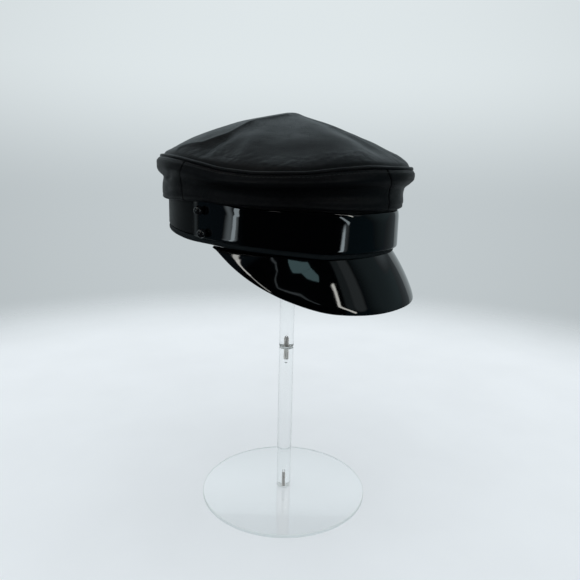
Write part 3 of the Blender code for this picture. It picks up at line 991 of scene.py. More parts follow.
def stitch_row(shape: BMesh, points: Sequence[Vector], outward: Sequence[Vector], pitch: float,
               length: float, radius: float) -> None:
    """Adds a row of stitches to a mesh.

    Args:
        shape: The mesh of the thread.
        points: Points along the row, closer together than the stitches.
        outward: The leather's outward direction at each point.
        pitch: The distance from one stitch to the next.
        length: The length of each stitch.
        radius: The thread's radius.
    """
    travelled = 0.0
    due = pitch / 2.0
    for start, end, up in zip(points, points[1:], outward):
        step = (end - start).length
        while due <= travelled + step and step > 0.0:
            middle = start.lerp(end, (due - travelled) / step)
            along = (end - start).normalized()
            across = up.cross(along).normalized()
            turn = Matrix((along, across, along.cross(across))).transposed().to_4x4()
            size = Matrix.Diagonal((length / 2.0, radius, radius, 1.0))
            bmesh.ops.create_uvsphere(shape, u_segments=6, v_segments=6, radius=1.0,
                                      matrix=Matrix.Translation(middle) @ turn @ size)
            due += pitch
        travelled += step


@dataclass
class SoftCrown:
    """The soft crown: its tented top, its wall of four panels, the rim's piping and the stitching.

    Slack is the leather's fine unevenness. The wall's long waves have an upright rate of their own. Each bump
    over the hem has a height, a distance from the hem and a squared spread, in millimetres.
    """

    shape: CapShape
    leather: Material
    thread: Material
    top_leather: float = 0.0014
    wall_leather: float = 0.0012
    top_grid: tuple[int, int] = (440, 96)
    top_crowding: float = 1.25
    top_edge_reach: float = 0.62
    top_edge_dive: float = 0.0011
    top_edge_span: Span = (0.975, 1.0)
    top_slack: tuple[Wave, ...] = (Wave(55.0, 0.35), Wave(130.0, 0.10))
    slack_fade: Fade = Fade((0.05, 0.30), (0.0, 0.10))
    pucker_height: float = 0.0003
    pucker_rate: float = 330.0
    pucker_fade: Fade = Fade((0.80, 0.90), (0.0, 0.04))
    ridge_fade: Fade = Fade((0.03, 0.12), (0.0, 0.07))
    ridge_lines: list[RidgeLine] = field(default_factory=list)
    seam_roll: float = 0.0011
    seam_gather: float = 0.0018
    front_hem_roll: float = 0.0020
    side_hem_roll: float = 0.0014
    hem_widens_deg: Span = (45.0, 80.0)
    wall_rows: int = 64
    wall_columns_per_degree: float = 1.15
    wall_edge_columns: float = 10.0
    wall_spare_columns: int = 24
    wall_crowding: Span = (0.16, 0.055)
    wall_top_share: float = 0.8
    wall_slack: Wave = Wave(60.0, 0.45)
    wall_long_slack: Wave = Wave(22.0, 0.55)
    wall_upright_rate: float = 150.0
    wall_slack_fullness: float = 0.7
    fold_free_of_seam: float = 0.008
    hem_bumps: tuple[tuple[float, float, float], ...] = ((0.35, 1.2, 0.8), (-0.30, 3.4, 0.9))
    side_seam_deg: float = 105.0
    piping_share: float = 0.93
    piping_grid: tuple[int, int] = (600, 16)
    stitch_pitch: float = 0.0030
    stitch_length: float = 0.0021
    thread_radius: float = 0.00022
    rim_stitches_down: float = 0.085
    rim_stitch_step_deg: float = 0.75
    seam_stitch_offset: float = 0.0030
    seam_stitch_steps: int = 60

    def seams(self) -> tuple[Seam, ...]:
        """Returns the seams in order, with the front one at both ends."""
        front, side = self.shape.seams["front"], self.shape.seams["side"]
        return (
            Seam(0.0, front),
            Seam(self.side_seam_deg, side),
            Seam(180.0, side, 0.0),
            Seam(360.0 - self.side_seam_deg, side, -1.0),
            Seam(360.0, front),
        )

    def top_edge(self, angle_deg: float) -> Vector:
        """Returns the middle line of the top's outer edge."""
        shape = self.shape
        height = shape.rim_height(angle_deg) + shape.clearance + shape.piping_radius
        height += self.top_leather / 2.0
        stand_off = shape.piping_stand_off(angle_deg) - shape.piping_radius * self.top_edge_reach
        return shape.point(angle_deg, stand_off, height)

    def lay_ridges(self) -> None:
        """Works out the paths of the ridges in plan."""
        for ridge in TOP_RIDGES:
            corners = [self.top_edge(angle).to_2d() * out for angle, out in ridge.path]
            self.ridge_lines.append(RidgeLine(corners, ridge.half_width, ridge.height))

    def top_point(self, angle_deg: float, out: float) -> Vector:
        """Returns a point of the top's outer face."""
        shape = self.shape
        edge = self.top_edge(angle_deg)
        back = (1.0 - math.cos(math.radians(angle_deg))) / 2.0
        front_fall, back_fall = shape.tops["front"](out), shape.tops["back"](out)
        fall = front_fall + (back_fall - front_fall) * back
        fade = math.sqrt(max(math.sin(math.pi * out), 0.0))
        folds = shape.crown_rise * fold_sum(TOP_FOLDS, angle_deg, out) * fade
        height = shape.crown_tip - (shape.crown_tip - edge.z) * fall + folds
        spot = Vector((edge.x * out, edge.y * out, height))
        slack = sum(noise.noise(spot * wave.rate) * wave.height_mm for wave in self.top_slack)
        spot.z += slack * MILLIMETRE * self.slack_fade.share(out)
        spot.z += noise.noise(spot * self.pucker_rate) * self.pucker_height * self.pucker_fade.share(out)
        ridges = sum(line.rise(spot.to_2d()) for line in self.ridge_lines)
        spot.z += ridges * self.ridge_fade.share(out)
        spot.z -= self.top_edge_dive * smooth_step(*self.top_edge_span, out)
        return spot

    def build_top(self) -> None:
        """Builds the tented top."""
        self.lay_ridges()

        def place(around: float, out: float) -> Vector:
            return self.top_point(360.0 * around, 1.0 - (1.0 - out) ** self.top_crowding)

        top = grid_piece("crown_top", *self.top_grid, place, lambda centre: Vector((0.0, 0.0, 1.0)))
        piece = finish_piece("crown_top_leather", top, [self.leather], ["crown_top"])
        thicken(piece, self.top_leather, self.top_leather / 4.0)

    def wall_point(self, angle_deg: float, down: float, from_seam: float) -> Vector:
        """Returns a point of the wall's outer face.

        Args:
            angle_deg: The angle round the cap.
            down: The share of the way down the wall.
            from_seam: The distance to the nearest upright seam.
        """
        shape = self.shape
        top = shape.rim_height(angle_deg) + shape.piping_radius * self.wall_top_share
        fall = top - shape.tuck_height(angle_deg)
        stand_off = shape.wall_stand_off(angle_deg, down)
        folds = shape.crown_overhang * fold_sum(WALL_FOLDS, angle_deg, down)
        stand_off += folds * smooth_step(0.0, self.fold_free_of_seam, from_seam)
        spot = shape.point(angle_deg, stand_off, top - fall * down)
        short, long = self.wall_slack, self.wall_long_slack
        long_spot = Vector((spot.x * long.rate, spot.y * long.rate, spot.z * self.wall_upright_rate))
        slack = noise.noise(long_spot) * long.height_mm + noise.noise(spot * short.rate) * short.height_mm
        stand_off += slack * MILLIMETRE * math.sin(math.pi * down) ** self.wall_slack_fullness
        stand_off -= quarter_turn(from_seam, self.seam_roll)
        stand_off -= quarter_turn(fall * down, self.seam_roll)
        aside = smooth_step(*self.hem_widens_deg, abs(turn_between(angle_deg, 0.0)))
        hem_roll = self.front_hem_roll + (self.side_hem_roll - self.front_hem_roll) * aside
        stand_off -= quarter_turn(fall * (1.0 - down), hem_roll)
        from_hem_mm = fall * (1.0 - down) / MILLIMETRE
        for height_mm, place_mm, spread_squared in self.hem_bumps:
            bump = math.exp(-((from_hem_mm - place_mm) ** 2) / spread_squared)
            stand_off += height_mm * MILLIMETRE * bump
        return shape.point(angle_deg, stand_off, top - fall * down)

    def build_wall_panel(self, name: str, start: Seam, end: Seam) -> None:
        """Builds one panel of the wall, rolled in at its seams and hemmed at its foot."""
        half_gap_deg = math.degrees(self.shape.clearance / self.shape.half_width) / 2.0
        columns = round((end.middle_deg - start.middle_deg) * self.wall_columns_per_degree)
        columns += self.wall_spare_columns
        metre_per_degree = math.pi * (self.shape.half_width + self.shape.half_length) / 360.0

        def place(around: float, fall: float) -> Vector:
            down = crowded(fall, *self.wall_crowding)
            first, last = start.angle(down) + half_gap_deg, end.angle(down) - half_gap_deg
            gathered = self.seam_gather / (metre_per_degree * (last - first))
            along = crowded(around, self.wall_edge_columns / columns, gathered)
            angle = first + (last - first) * along
            from_seam = min(angle - first, last - angle) * metre_per_degree
            return self.wall_point(angle, down, from_seam)

        panel = grid_piece(name, columns, self.wall_rows, place, self.shape.away)
        piece = finish_piece(f"{name}_leather", panel, [self.leather], [name])
        thicken(piece, self.wall_leather, self.wall_leather / 4.0, even=False)

    def build_piping(self) -> None:
        """Builds the piping round the rim."""
        shape = self.shape

        def middle(angle_deg: float) -> tuple[float, float]:
            height = shape.rim_height(angle_deg) + shape.clearance + shape.piping_radius
            return shape.piping_stand_off(angle_deg), height

        roll = Roll(shape, middle, shape.piping_radius * self.piping_share, pucker=0.05, puckers_round=300.0)
        piping = grid_piece("rim_piping", *self.piping_grid, roll.point, roll.outward)
        finish_piece("rim_piping_leather", piping, [self.leather], ["rim_piping"])

    def build_stitching(self) -> None:
        """Builds the stitching under the rim and beside the upright seams."""
        shape = bmesh.new()

        def sew(places: Sequence[tuple[float, float]], from_seam: float) -> None:
            points = [self.wall_point(angle, down, from_seam) for angle, down in places]
            outward = [self.shape.outward(angle) for angle, _ in places]
            stitch_row(shape, points, outward, self.stitch_pitch, self.stitch_length, self.thread_radius)

        steps = round(360.0 / self.rim_stitch_step_deg)
        sew([(self.rim_stitch_step_deg * step, self.rim_stitches_down) for step in range(steps + 1)], 1.0)
        degree_per_metre = 360.0 / (math.pi * (self.shape.half_width + self.shape.half_length))
        downs = [0.10 + 0.80 * step / self.seam_stitch_steps for step in range(self.seam_stitch_steps + 1)]
        for seam in self.seams()[:-1]:
            for side in Side:
                offset_deg = side.value * self.seam_stitch_offset * degree_per_metre
                sew([(seam.angle(down) + offset_deg, down) for down in downs], self.seam_stitch_offset)
        finish_piece("crown_stitching", shape, [self.thread])

    def build(self) -> None:
        """Builds the whole crown."""
        self.build_top()
        names = ("wall_front_right", "wall_back_right", "wall_back_left", "wall_front_left")
        seams = self.seams()
        for name, start, end in zip(names, seams, seams[1:]):
            self.build_wall_panel(name, start, end)
        self.build_piping()
        self.build_stitching()


@dataclass
class HeadBand:
    """The band round the head, with its welt, its patent strap and the strap's buttons."""

    shape: CapShape
    leather: Material
    welt_leather_painted_lit: Material
    patent: Material
    plastic: Material
    band_leather: float = 0.0020
    band_grid: tuple[int, int] = (360, 14)
    hidden_height: float = 0.0040
    welt_grid: tuple[int, int] = (480, 20)
    strap_leather: float = 0.0026
    strap_grid: tuple[int, int] = (260, 40)
    strap_end_crowding: Span = (0.02, 0.004)
    strap_edge_crowding: Span = (0.2, 0.04)
    strap_end_leather: float = 0.0011
    strap_thinned_from_deg: float = 94.5
    strap_rise: float = 0.0046
    strap_half_span_deg: float = 100.0
    strap_bow_height: float = 0.0080
    strap_bow: float = 0.0009
    strap_edge_round: float = 0.0010
    strap_edge_share: float = 0.7
    strap_foot_round: float = 0.0016
    strap_foot_share: float = 0.6
    wall_edge_round: float = 0.0006
    button_radius: float = 0.0035
    button_height: float = 0.0066
    button_rings: int = 18
    button_steps: int = 40
    upper_button_deg: float = 92.2
    upper_button_drop: float = 0.0064
    lower_button_deg: float = 90.3
    lower_button_rise: float = 0.0042

    def build_band(self) -> None:
        """Builds the leather band."""
        shape = self.shape

        def place(around: float, rise: float) -> Vector:
            angle = 360.0 * around
            foot = shape.welt_foot(angle) + 2.0 * shape.welt_radius + shape.clearance
            top = shape.tuck_height(angle) + self.hidden_height
            return shape.point(angle, 0.0, foot + (top - foot) * rise)

        band = grid_piece("head_band", *self.band_grid, place, shape.away)
        piece = finish_piece("head_band_leather", band, [self.leather], ["head_band"])
        thicken(piece, self.band_leather, self.wall_edge_round)

    def strap_thickness(self, angle_deg: float) -> float:
        """Returns the strap's thickness, which is pared down at its ends."""
        pared = smooth_step(self.strap_thinned_from_deg, self.strap_half_span_deg, abs(angle_deg))
        return self.strap_leather + (self.strap_end_leather - self.strap_leather) * pared

    def strap_point(self, angle_deg: float, rise: float) -> Vector:
        """Returns a point of the strap's outer face."""
        shape = self.shape
        foot = shape.welt_foot(angle_deg) + self.strap_rise
        top = shape.strap_top(angle_deg)
        stand_off = shape.clearance + self.strap_thickness(angle_deg)
        height = foot + (top - foot) * rise
        stand_off -= self.strap_foot_share * quarter_turn(height - foot, self.strap_foot_round)
        stand_off -= self.strap_bow * max(1.0 - (top - height) / self.strap_bow_height, 0.0) ** 3
        stand_off -= self.strap_edge_share * quarter_turn(top - height, self.strap_edge_round)
        return shape.point(angle_deg, stand_off, height)

    def build_strap(self) -> None:
        """Builds the patent strap."""
        span = self.strap_half_span_deg

        def place(around: float, rise: float) -> Vector:
            angle = span * (2.0 * crowded(around, *self.strap_end_crowding) - 1.0)
            return self.strap_point(angle, crowded(rise, *self.strap_edge_crowding))

        strap = grid_piece("patent_strap", *self.strap_grid, place, self.shape.away)
        piece = finish_piece("patent_strap_lacquered", strap, [self.patent],
                             ["patent_strap"])
        thicken(piece, self.strap_leather, self.wall_edge_round)
        group = piece.vertex_groups.new(name="Thickness")
        for vertex in piece.data.vertices:
            thickness = self.strap_thickness(self.shape.angle_of(vertex.co))
            group.add([vertex.index], thickness / self.strap_leather, "REPLACE")
        piece.modifiers["Wall"].vertex_group = group.name

    def build_welt(self) -> None:
        """Builds the rolled welt under the band."""
        shape = self.shape

        def middle(angle_deg: float) -> tuple[float, float]:
            return -shape.welt_radius, shape.welt_foot(angle_deg) + shape.welt_radius

        roll = Roll(shape, middle, shape.welt_radius, pucker=0.02, puckers_round=120.0)
        welt = grid_piece("bottom_welt", *self.welt_grid, roll.point, roll.outward)
        # The welt's leather is painted lighter than the band's, standing in for the floor's light on the
        # roll.
        finish_piece("bottom_welt_leather", welt, [self.welt_leather_painted_lit], ["bottom_welt"])

    def button_profile(self) -> list[tuple[float, float]]:
        """Returns the button's section as radii and heights, from the middle of its face to its back."""
        radius, middle = self.button_radius, self.button_height - self.button_radius
        rings = range(self.button_rings + 1)
        turns = [math.acos(-middle / radius) * step / self.button_rings for step in rings]
        return [*((radius * math.sin(turn), middle + radius * math.cos(turn)) for turn in turns), (0.0, 0.0)]

    def build_button(self, name: str, angle_deg: float, height: float) -> None:
        """Builds one button on the strap."""
        stand_off = self.shape.clearance + self.strap_leather
        outward = self.shape.outward(angle_deg)
        seat = self.shape.point(angle_deg, stand_off, height) + outward * self.shape.clearance
        button = turned_mesh(self.button_profile(), self.button_steps)
        place = Matrix.Translation(seat) @ outward.to_track_quat("Z", "Y").to_matrix().to_4x4()
        bmesh.ops.transform(button, matrix=place, verts=button.verts)
        finish_piece(f"{name}_glossy", button, [self.plastic], [name])

    def build(self) -> None:
        """Builds the band and all that is on it."""
        self.build_band()
        self.build_strap()
        self.build_welt()
        lower = self.shape.welt_foot(self.lower_button_deg) + self.strap_rise + self.lower_button_rise
        upper = self.shape.tuck_height(self.upper_button_deg) - self.upper_button_drop
        for side in Side:
            label = side.name.lower()
            self.build_button(f"button_{label}_upper", side.value * self.upper_button_deg, upper)
            self.build_button(f"button_{label}_lower", side.value * self.lower_button_deg, lower)


@dataclass
class Peak:
    """The patent peak over the eyes."""

    shape: CapShape
    patent: Material
    lining: Material
    leather: float = 0.0022
    depth: float = 0.0428
    half_span_deg: float = 86.5
    front_slope_deg: float = 64.5
    end_slope_deg: float = 40.0
    seat_deg: float = 48.0
    seat_gap: float = 0.0006
    end_depth: float = 0.0020
    roundness: float = 2.9
    fullness: float = 1.35
    bow: float = 0.26
    edge_curl: float = 0.12
    curl_width: float = 0.006
    curl_share: float = 0.8
    tucked_in: float = -0.035
    edge_round: float = 0.0008
    grid: tuple[int, int] = (220, 56)
    crowding: float = 1.5

    def point(self, share: float, out: float) -> Vector:
        """Returns a point of the peak's outer face.

        Args:
            share: The share of its half span, from -1 at the wearer's left to 1 at the right.
            out: The share of the way from the welt to the outer edge.
        """
        shape = self.shape
        seat = math.radians(self.seat_deg)
        seat_radius = shape.welt_radius + self.seat_gap
        stand_off = seat_radius * math.cos(seat) - shape.welt_radius
        rise = shape.welt_radius - seat_radius * math.sin(seat)
        angle = share * self.half_span_deg
        fullness = max(1.0 - abs(share) ** self.roundness, 0.0) ** self.fullness
        depth = self.end_depth + (self.depth - self.end_depth) * fullness
        steeper_deg = self.end_slope_deg - self.front_slope_deg
        slope = math.radians(self.front_slope_deg + steeper_deg * share * share)
        out = self.tucked_in + (1.0 - self.tucked_in) * out
        root = shape.point(angle, stand_off, shape.welt_foot(angle) + rise)
        level = shape.outward(angle)
        along = level * math.cos(slope) - Vector((0.0, 0.0, math.sin(slope)))
        facing = level * math.sin(slope) + Vector((0.0, 0.0, math.cos(slope)))
        width = min(self.curl_width, self.curl_share * depth)
        near_edge = max(0.0, 1.0 - depth * (1.0 - out) / width)
        swell = self.bow * depth * out * (1.0 - out) / 2.0
        swell += self.edge_curl * width * (out - near_edge**2) / 2.0
        return root + along * depth * out + facing * swell

    def build(self) -> None:
        """Builds the peak."""

        def place(around: float, out: float) -> Vector:
            return self.point(2.0 * around - 1.0, 1.0 - (1.0 - out) ** self.crowding)

        def outward(centre: Vector) -> Vector:
            return self.shape.away(centre) + Vector((0.0, 0.0, self.shape.half_width / 2.0))

        peak = grid_piece("peak", *self.grid, place, outward)
        piece = finish_piece("peak_lacquered", peak, [self.patent, self.lining], ["peak"])
        thicken(piece, self.leather, self.edge_round, inner_material=1)


class AcrylicSlot(IntEnum):
    """The material slots of a clear piece."""

    POLISHED = 0
    SAWN_EDGE = 1
    SAWN_JOINT = 2


@dataclass(frozen=True)
class RodEnd:
    """An end of a rod, with a tapped blind hole for a stud and a sawn chamfer round the end."""

    hole_radius: float
    hole_depth: float
    chamfer: float
    slot: AcrylicSlot


@dataclass
class ClearStand:
    """The clear foot and rod, and the threaded studs inside them.

    The rods' holes are tapped: they are narrower than the studs, so the threads bite into the acrylic.
    The foot's hole is a clear one, wider than its stud by hole_clearance.
    """

    acrylic: Material
    sawn_edge: Material
    sawn_joint: Material
    steel: Material
    base_radius: float = 0.075
    base_thickness: float = 0.003
    base_edge: float = 0.0006
    rod_radius: float = 0.00635
    tip_edge: float = 0.003
    joint_chamfer: float = 0.0008
    foot_chamfer: float = 0.0006
    hole_clearance: float = 0.0003
    tapped_share: float = 0.79
    drill_flat_share: float = 0.2
    drill_point_height: float = 0.001
    foot_hole_spare: float = 0.0030
    spare_below_joint: float = 0.0037
    spare_above_joint: float = 0.0014
    pitch_share: float = 0.19
    thread_share: float = 0.10
    thread_fade: float = 0.0008
    stud_cap_share: float = 0.01
    stud_steps: int = 32
    rows_per_thread: float = 6.0
    steps: int = 128
    corner_steps: int = 6
    sharp_deg: float = 40.0

    def turned(self, name: str, node: str, profile: Sequence[tuple[float, float]],
               slot_at: Callable[[float, float], int]) -> None:
        """Builds a turned clear piece.

        Args:
            name: The piece's name.
            node: The CAD node that it stands for.
            profile: Radii and heights from the axis over the outside and back to the axis.
            slot_at: Gives the material slot of a face from its radius and height.
        """
        shape = turned_mesh(profile, self.steps)
        for face in shape.faces:
            centre = face.calc_center_median()
            face.material_index = slot_at(math.hypot(centre.x, centre.y), centre.z)
        materials = [self.acrylic, self.sawn_edge, self.sawn_joint]
        piece = finish_piece(name, shape, materials, [node])
        piece.data.set_sharp_from_angle(angle=math.radians(self.sharp_deg))

    def corner(self, radius: float, height: float, edge: float, start_deg: float, end_deg: float) -> list:
        """Returns profile points round a corner whose arc has a radius of edge."""
        points = []
        for step in range(self.corner_steps + 1):
            turn = math.radians(start_deg + (end_deg - start_deg) * step / self.corner_steps)
            points.append((radius + edge * math.cos(turn), height + edge * math.sin(turn)))
        return points

    def build_base(self) -> None:
        """Builds the round foot with the blind hole for its stud."""
        top, edge, inner = self.base_thickness, self.base_edge, self.base_radius - self.base_edge
        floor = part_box("foot_stud")[0].z - self.hole_clearance
        hole = self.stud_radius("foot_stud") + self.hole_clearance
        profile = [(0.0, floor), (hole, floor), (hole, top)]
        profile += self.corner(inner, top - edge, edge, 90.0, 0.0)
        profile += self.corner(inner, edge, edge, 0.0, -90.0)

        def slot_at(radius: float, height: float) -> int:
            return AcrylicSlot.SAWN_EDGE if radius > inner else AcrylicSlot.POLISHED

        self.turned("acrylic_base", "stand_base", [*profile, (0.0, 0.0)], slot_at)

    def build_rod(self, node: str, upper: RodEnd | None, lower: RodEnd) -> None:
        """Builds one section of the rod.

        Args:
            node: The CAD node that it stands for.
            upper: Its upper end, or None where that is rounded and has no hole.
            lower: Its lower end.
        """
        low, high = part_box(node)
        foot, top, point_height = low.z, high.z, self.drill_point_height
        if upper:
            floor = top - upper.hole_depth
            profile = [(0.0, floor), (upper.hole_radius * self.drill_flat_share, floor)]
            profile += [(upper.hole_radius, floor + point_height), (upper.hole_radius, top)]
            profile += [(self.rod_radius - upper.chamfer, top), (self.rod_radius, top - upper.chamfer)]
        else:
            inner = self.rod_radius - self.tip_edge
            profile = [(0.0, top), *self.corner(inner, top - self.tip_edge, self.tip_edge, 90.0, 0.0)]
        roof = foot + lower.hole_depth
        profile += [(self.rod_radius, foot + lower.chamfer), (self.rod_radius - lower.chamfer, foot)]
        profile += [(lower.hole_radius, foot), (lower.hole_radius, roof - point_height)]
        profile += [(lower.hole_radius * self.drill_flat_share, roof), (0.0, roof)]

        def slot_at(radius: float, height: float) -> int:
            if upper and radius > upper.hole_radius and height > top - upper.chamfer:
                return upper.slot
            if radius > lower.hole_radius and height < foot + lower.chamfer:
                return lower.slot
            return AcrylicSlot.POLISHED

        self.turned(f"acrylic_{node}", node, profile, slot_at)

    def stud_radius(self, node: str) -> float:
        """Returns a stud's radius."""
        low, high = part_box(node)
        return (high.y - low.y) / 2.0

    def build_stud(self, node: str) -> None:
        """Builds a threaded stud."""
        low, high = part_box(node)
        length, outer, cap = high.z - low.z, self.stud_radius(node), self.stud_cap_share
        pitch, depth = outer * 2.0 * self.pitch_share, outer * 2.0 * self.thread_share

        def place(around: float, rise: float) -> Vector:
            along = min(max((rise - cap) / (1.0 - 2.0 * cap), 0.0), 1.0)
            height = low.z + length * along
            ridge = 1.0 - abs(2.0 * ((height / pitch + around) % 1.0) - 1.0)
            taper = smooth_step(0.0, self.thread_fade, height - low.z)
            taper *= smooth_step(0.0, self.thread_fade, high.z - height)
            radius = outer - depth * (1.0 - ridge * taper)
            if rise < cap or rise > 1.0 - cap:
                radius *= min(rise, 1.0 - rise) / cap
            turn = math.tau * around
            return Vector((radius * math.cos(turn), radius * math.sin(turn), height))

        def outward(centre: Vector) -> Vector:
            return Vector((centre.x, centre.y, 0.0))

        rows = round(length / pitch * self.rows_per_thread)
        stud = grid_piece(node, self.stud_steps, rows, place, outward)
        finish_piece(f"{node}_threaded", stud, [self.steel], [node])

    def build(self) -> None:
        """Builds the stand."""
        self.build_base()
        foot_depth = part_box("foot_stud")[1].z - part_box("lower_rod")[0].z + self.foot_hole_spare
        depth_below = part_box("lower_rod")[1].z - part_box("joint_stud")[0].z + self.spare_below_joint
        depth_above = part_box("joint_stud")[1].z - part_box("upper_rod")[0].z + self.spare_above_joint
        foot_hole = self.stud_radius("foot_stud") * self.tapped_share
        joint_hole = self.stud_radius("joint_stud") * self.tapped_share
        below_joint = RodEnd(joint_hole, depth_below, self.joint_chamfer, AcrylicSlot.SAWN_JOINT)
        above_joint = RodEnd(joint_hole, depth_above, self.joint_chamfer, AcrylicSlot.SAWN_JOINT)
        foot = RodEnd(foot_hole, foot_depth, self.foot_chamfer, AcrylicSlot.SAWN_EDGE)
        self.build_rod("lower_rod", below_joint, foot)
        self.build_rod("upper_rod", None, above_joint)
        self.build_stud("foot_stud")
        self.build_stud("joint_stud")


DAYLIGHT: Colour = (0.86, 1.0, 1.06)
WINDOW_LIGHT: Colour = (0.60, 1.0, 1.06)
BACKDROP_LIGHT: Colour = (0.88, 1.0, 1.04)
TUBE_LIGHT: Colour = (1.0, 1.0, 0.96)


@dataclass(frozen=True)
class RoomShape:
    """A soft bright shape in the room, which the cap's glossy faces mirror.

    Each of its corners is an angle round the cap and an elevation, in degrees.
    """

    name: str
    corners: tuple[tuple[float, float], ...]

    def joined(self, hand: NodeHand, group: NodeTree, where: dict, parts: Iterable[dict],
               operation: str) -> Socket:
        """Draws the shape from its parts.

        Args:
            hand: The world's nodes.
            group: The node group that draws one part.
            where: The sockets with the angle round the cap and the elevation.
            parts: The node group's inputs for each part.
            operation: The math that joins the parts' masks.

        Returns:
            The socket with the shape's mask.
        """
        whole = None
        for part in parts:
            settings = {"node_tree": group, "label": self.name}
            mask = hand.add("Group", settings, **where, **part).outputs["Mask"]
            whole = mask if whole is None else hand.math(operation, whole, mask)
        return whole


@dataclass(frozen=True)
class Glow(RoomShape):
    """A stripe that runs from corner to corner."""

    half_width: float
    softness: float
    radiance: float
    colour: Colour = DAYLIGHT

    def mask(self, hand: NodeHand, group: NodeTree, where: dict) -> Socket:
        """Draws the stripe, with a group that draws one straight stretch of it."""
        parts = (
            dict(Start_Angle=start[0], Start_Rise=start[1], End_Angle=end[0], End_Rise=end[1],
                 Half_Width=self.half_width, Softness=self.softness)
            for start, end in zip(self.corners, self.corners[1:])
        )
        return self.joined(hand, group, where, parts, "MAXIMUM")


@dataclass(frozen=True)
class Pane(RoomShape):
    """A flat pane with straight edges. Its corners go round in the order in which both axes turn left."""

    softness: float
    radiance: float
    colour: Colour = WINDOW_LIGHT

    def mask(self, hand: NodeHand, group: NodeTree, where: dict) -> Socket:
        """Draws what lies inside all edges, with a group that draws the inner side of one."""
        parts = []
        for start, end in zip(self.corners, self.corners[1:] + self.corners[:1]):
            length = math.dist(start, end)
            inward = ((start[1] - end[1]) / length, (end[0] - start[0]) / length)
            parts.append(dict(Start_Angle=start[0], Start_Rise=start[1], Inward_Angle=inward[0],
                              Inward_Rise=inward[1], Softness=self.softness))
        return self.joined(hand, group, where, parts, "MULTIPLY")


def pane_edge_group() -> NodeTree:
    """Returns the mask of the inner side of a straight edge."""
    inputs = ("Angle", "Rise", "Start Angle", "Start Rise", "Inward Angle", "Inward Rise", "Softness")
    hand, given, end = new_group("Pane edge", dict.fromkeys(inputs, 1.0), ("Mask",))
    across = hand.math("SUBTRACT", given["Angle"], given["Start Angle"])
    up = hand.math("SUBTRACT", given["Rise"], given["Start Rise"])
    inside = hand.math("ADD", hand.math("MULTIPLY", across, given["Inward Angle"]),
                       hand.math("MULTIPLY", up, given["Inward Rise"]))
    hand.feed(end, Mask=hand.spread(hand.math("DIVIDE", inside, given["Softness"]), -0.5, 0.5, smooth=True))
    return hand.tree


def stripe_group() -> NodeTree:
    """Returns the mask of a soft stripe between two directions."""
    inputs = ("Angle", "Rise", "Start Angle", "Start Rise", "End Angle", "End Rise", "Half Width", "Softness")
    hand, given, last = new_group("Soft stripe", dict.fromkeys(inputs, 1.0), ("Mask",))
    spot, start, end = (
        hand.add("CombineXYZ", in_0=given[f"{name}Angle"], in_1=given[f"{name}Rise"]).outputs[0]
        for name in ("", "Start ", "End ")
    )
    along = hand.vector("SUBTRACT", end, start)
    there = hand.vector("SUBTRACT", spot, start)
    reach, whole = hand.vector("DOT_PRODUCT", there, along), hand.vector("DOT_PRODUCT", along, along)
    share = hand.add("Clamp", in_0=hand.math("DIVIDE", reach, whole)).outputs[0]
    apart = hand.vector("DISTANCE", there, hand.vector("SCALE", along, share))
    past = hand.math("DIVIDE", hand.math("SUBTRACT", apart, given["Half Width"]), given["Softness"])
    hand.feed(last, Mask=hand.spread(past, 0.0, 1.0, 1.0, 0.0, smooth=True))
    return hand.tree


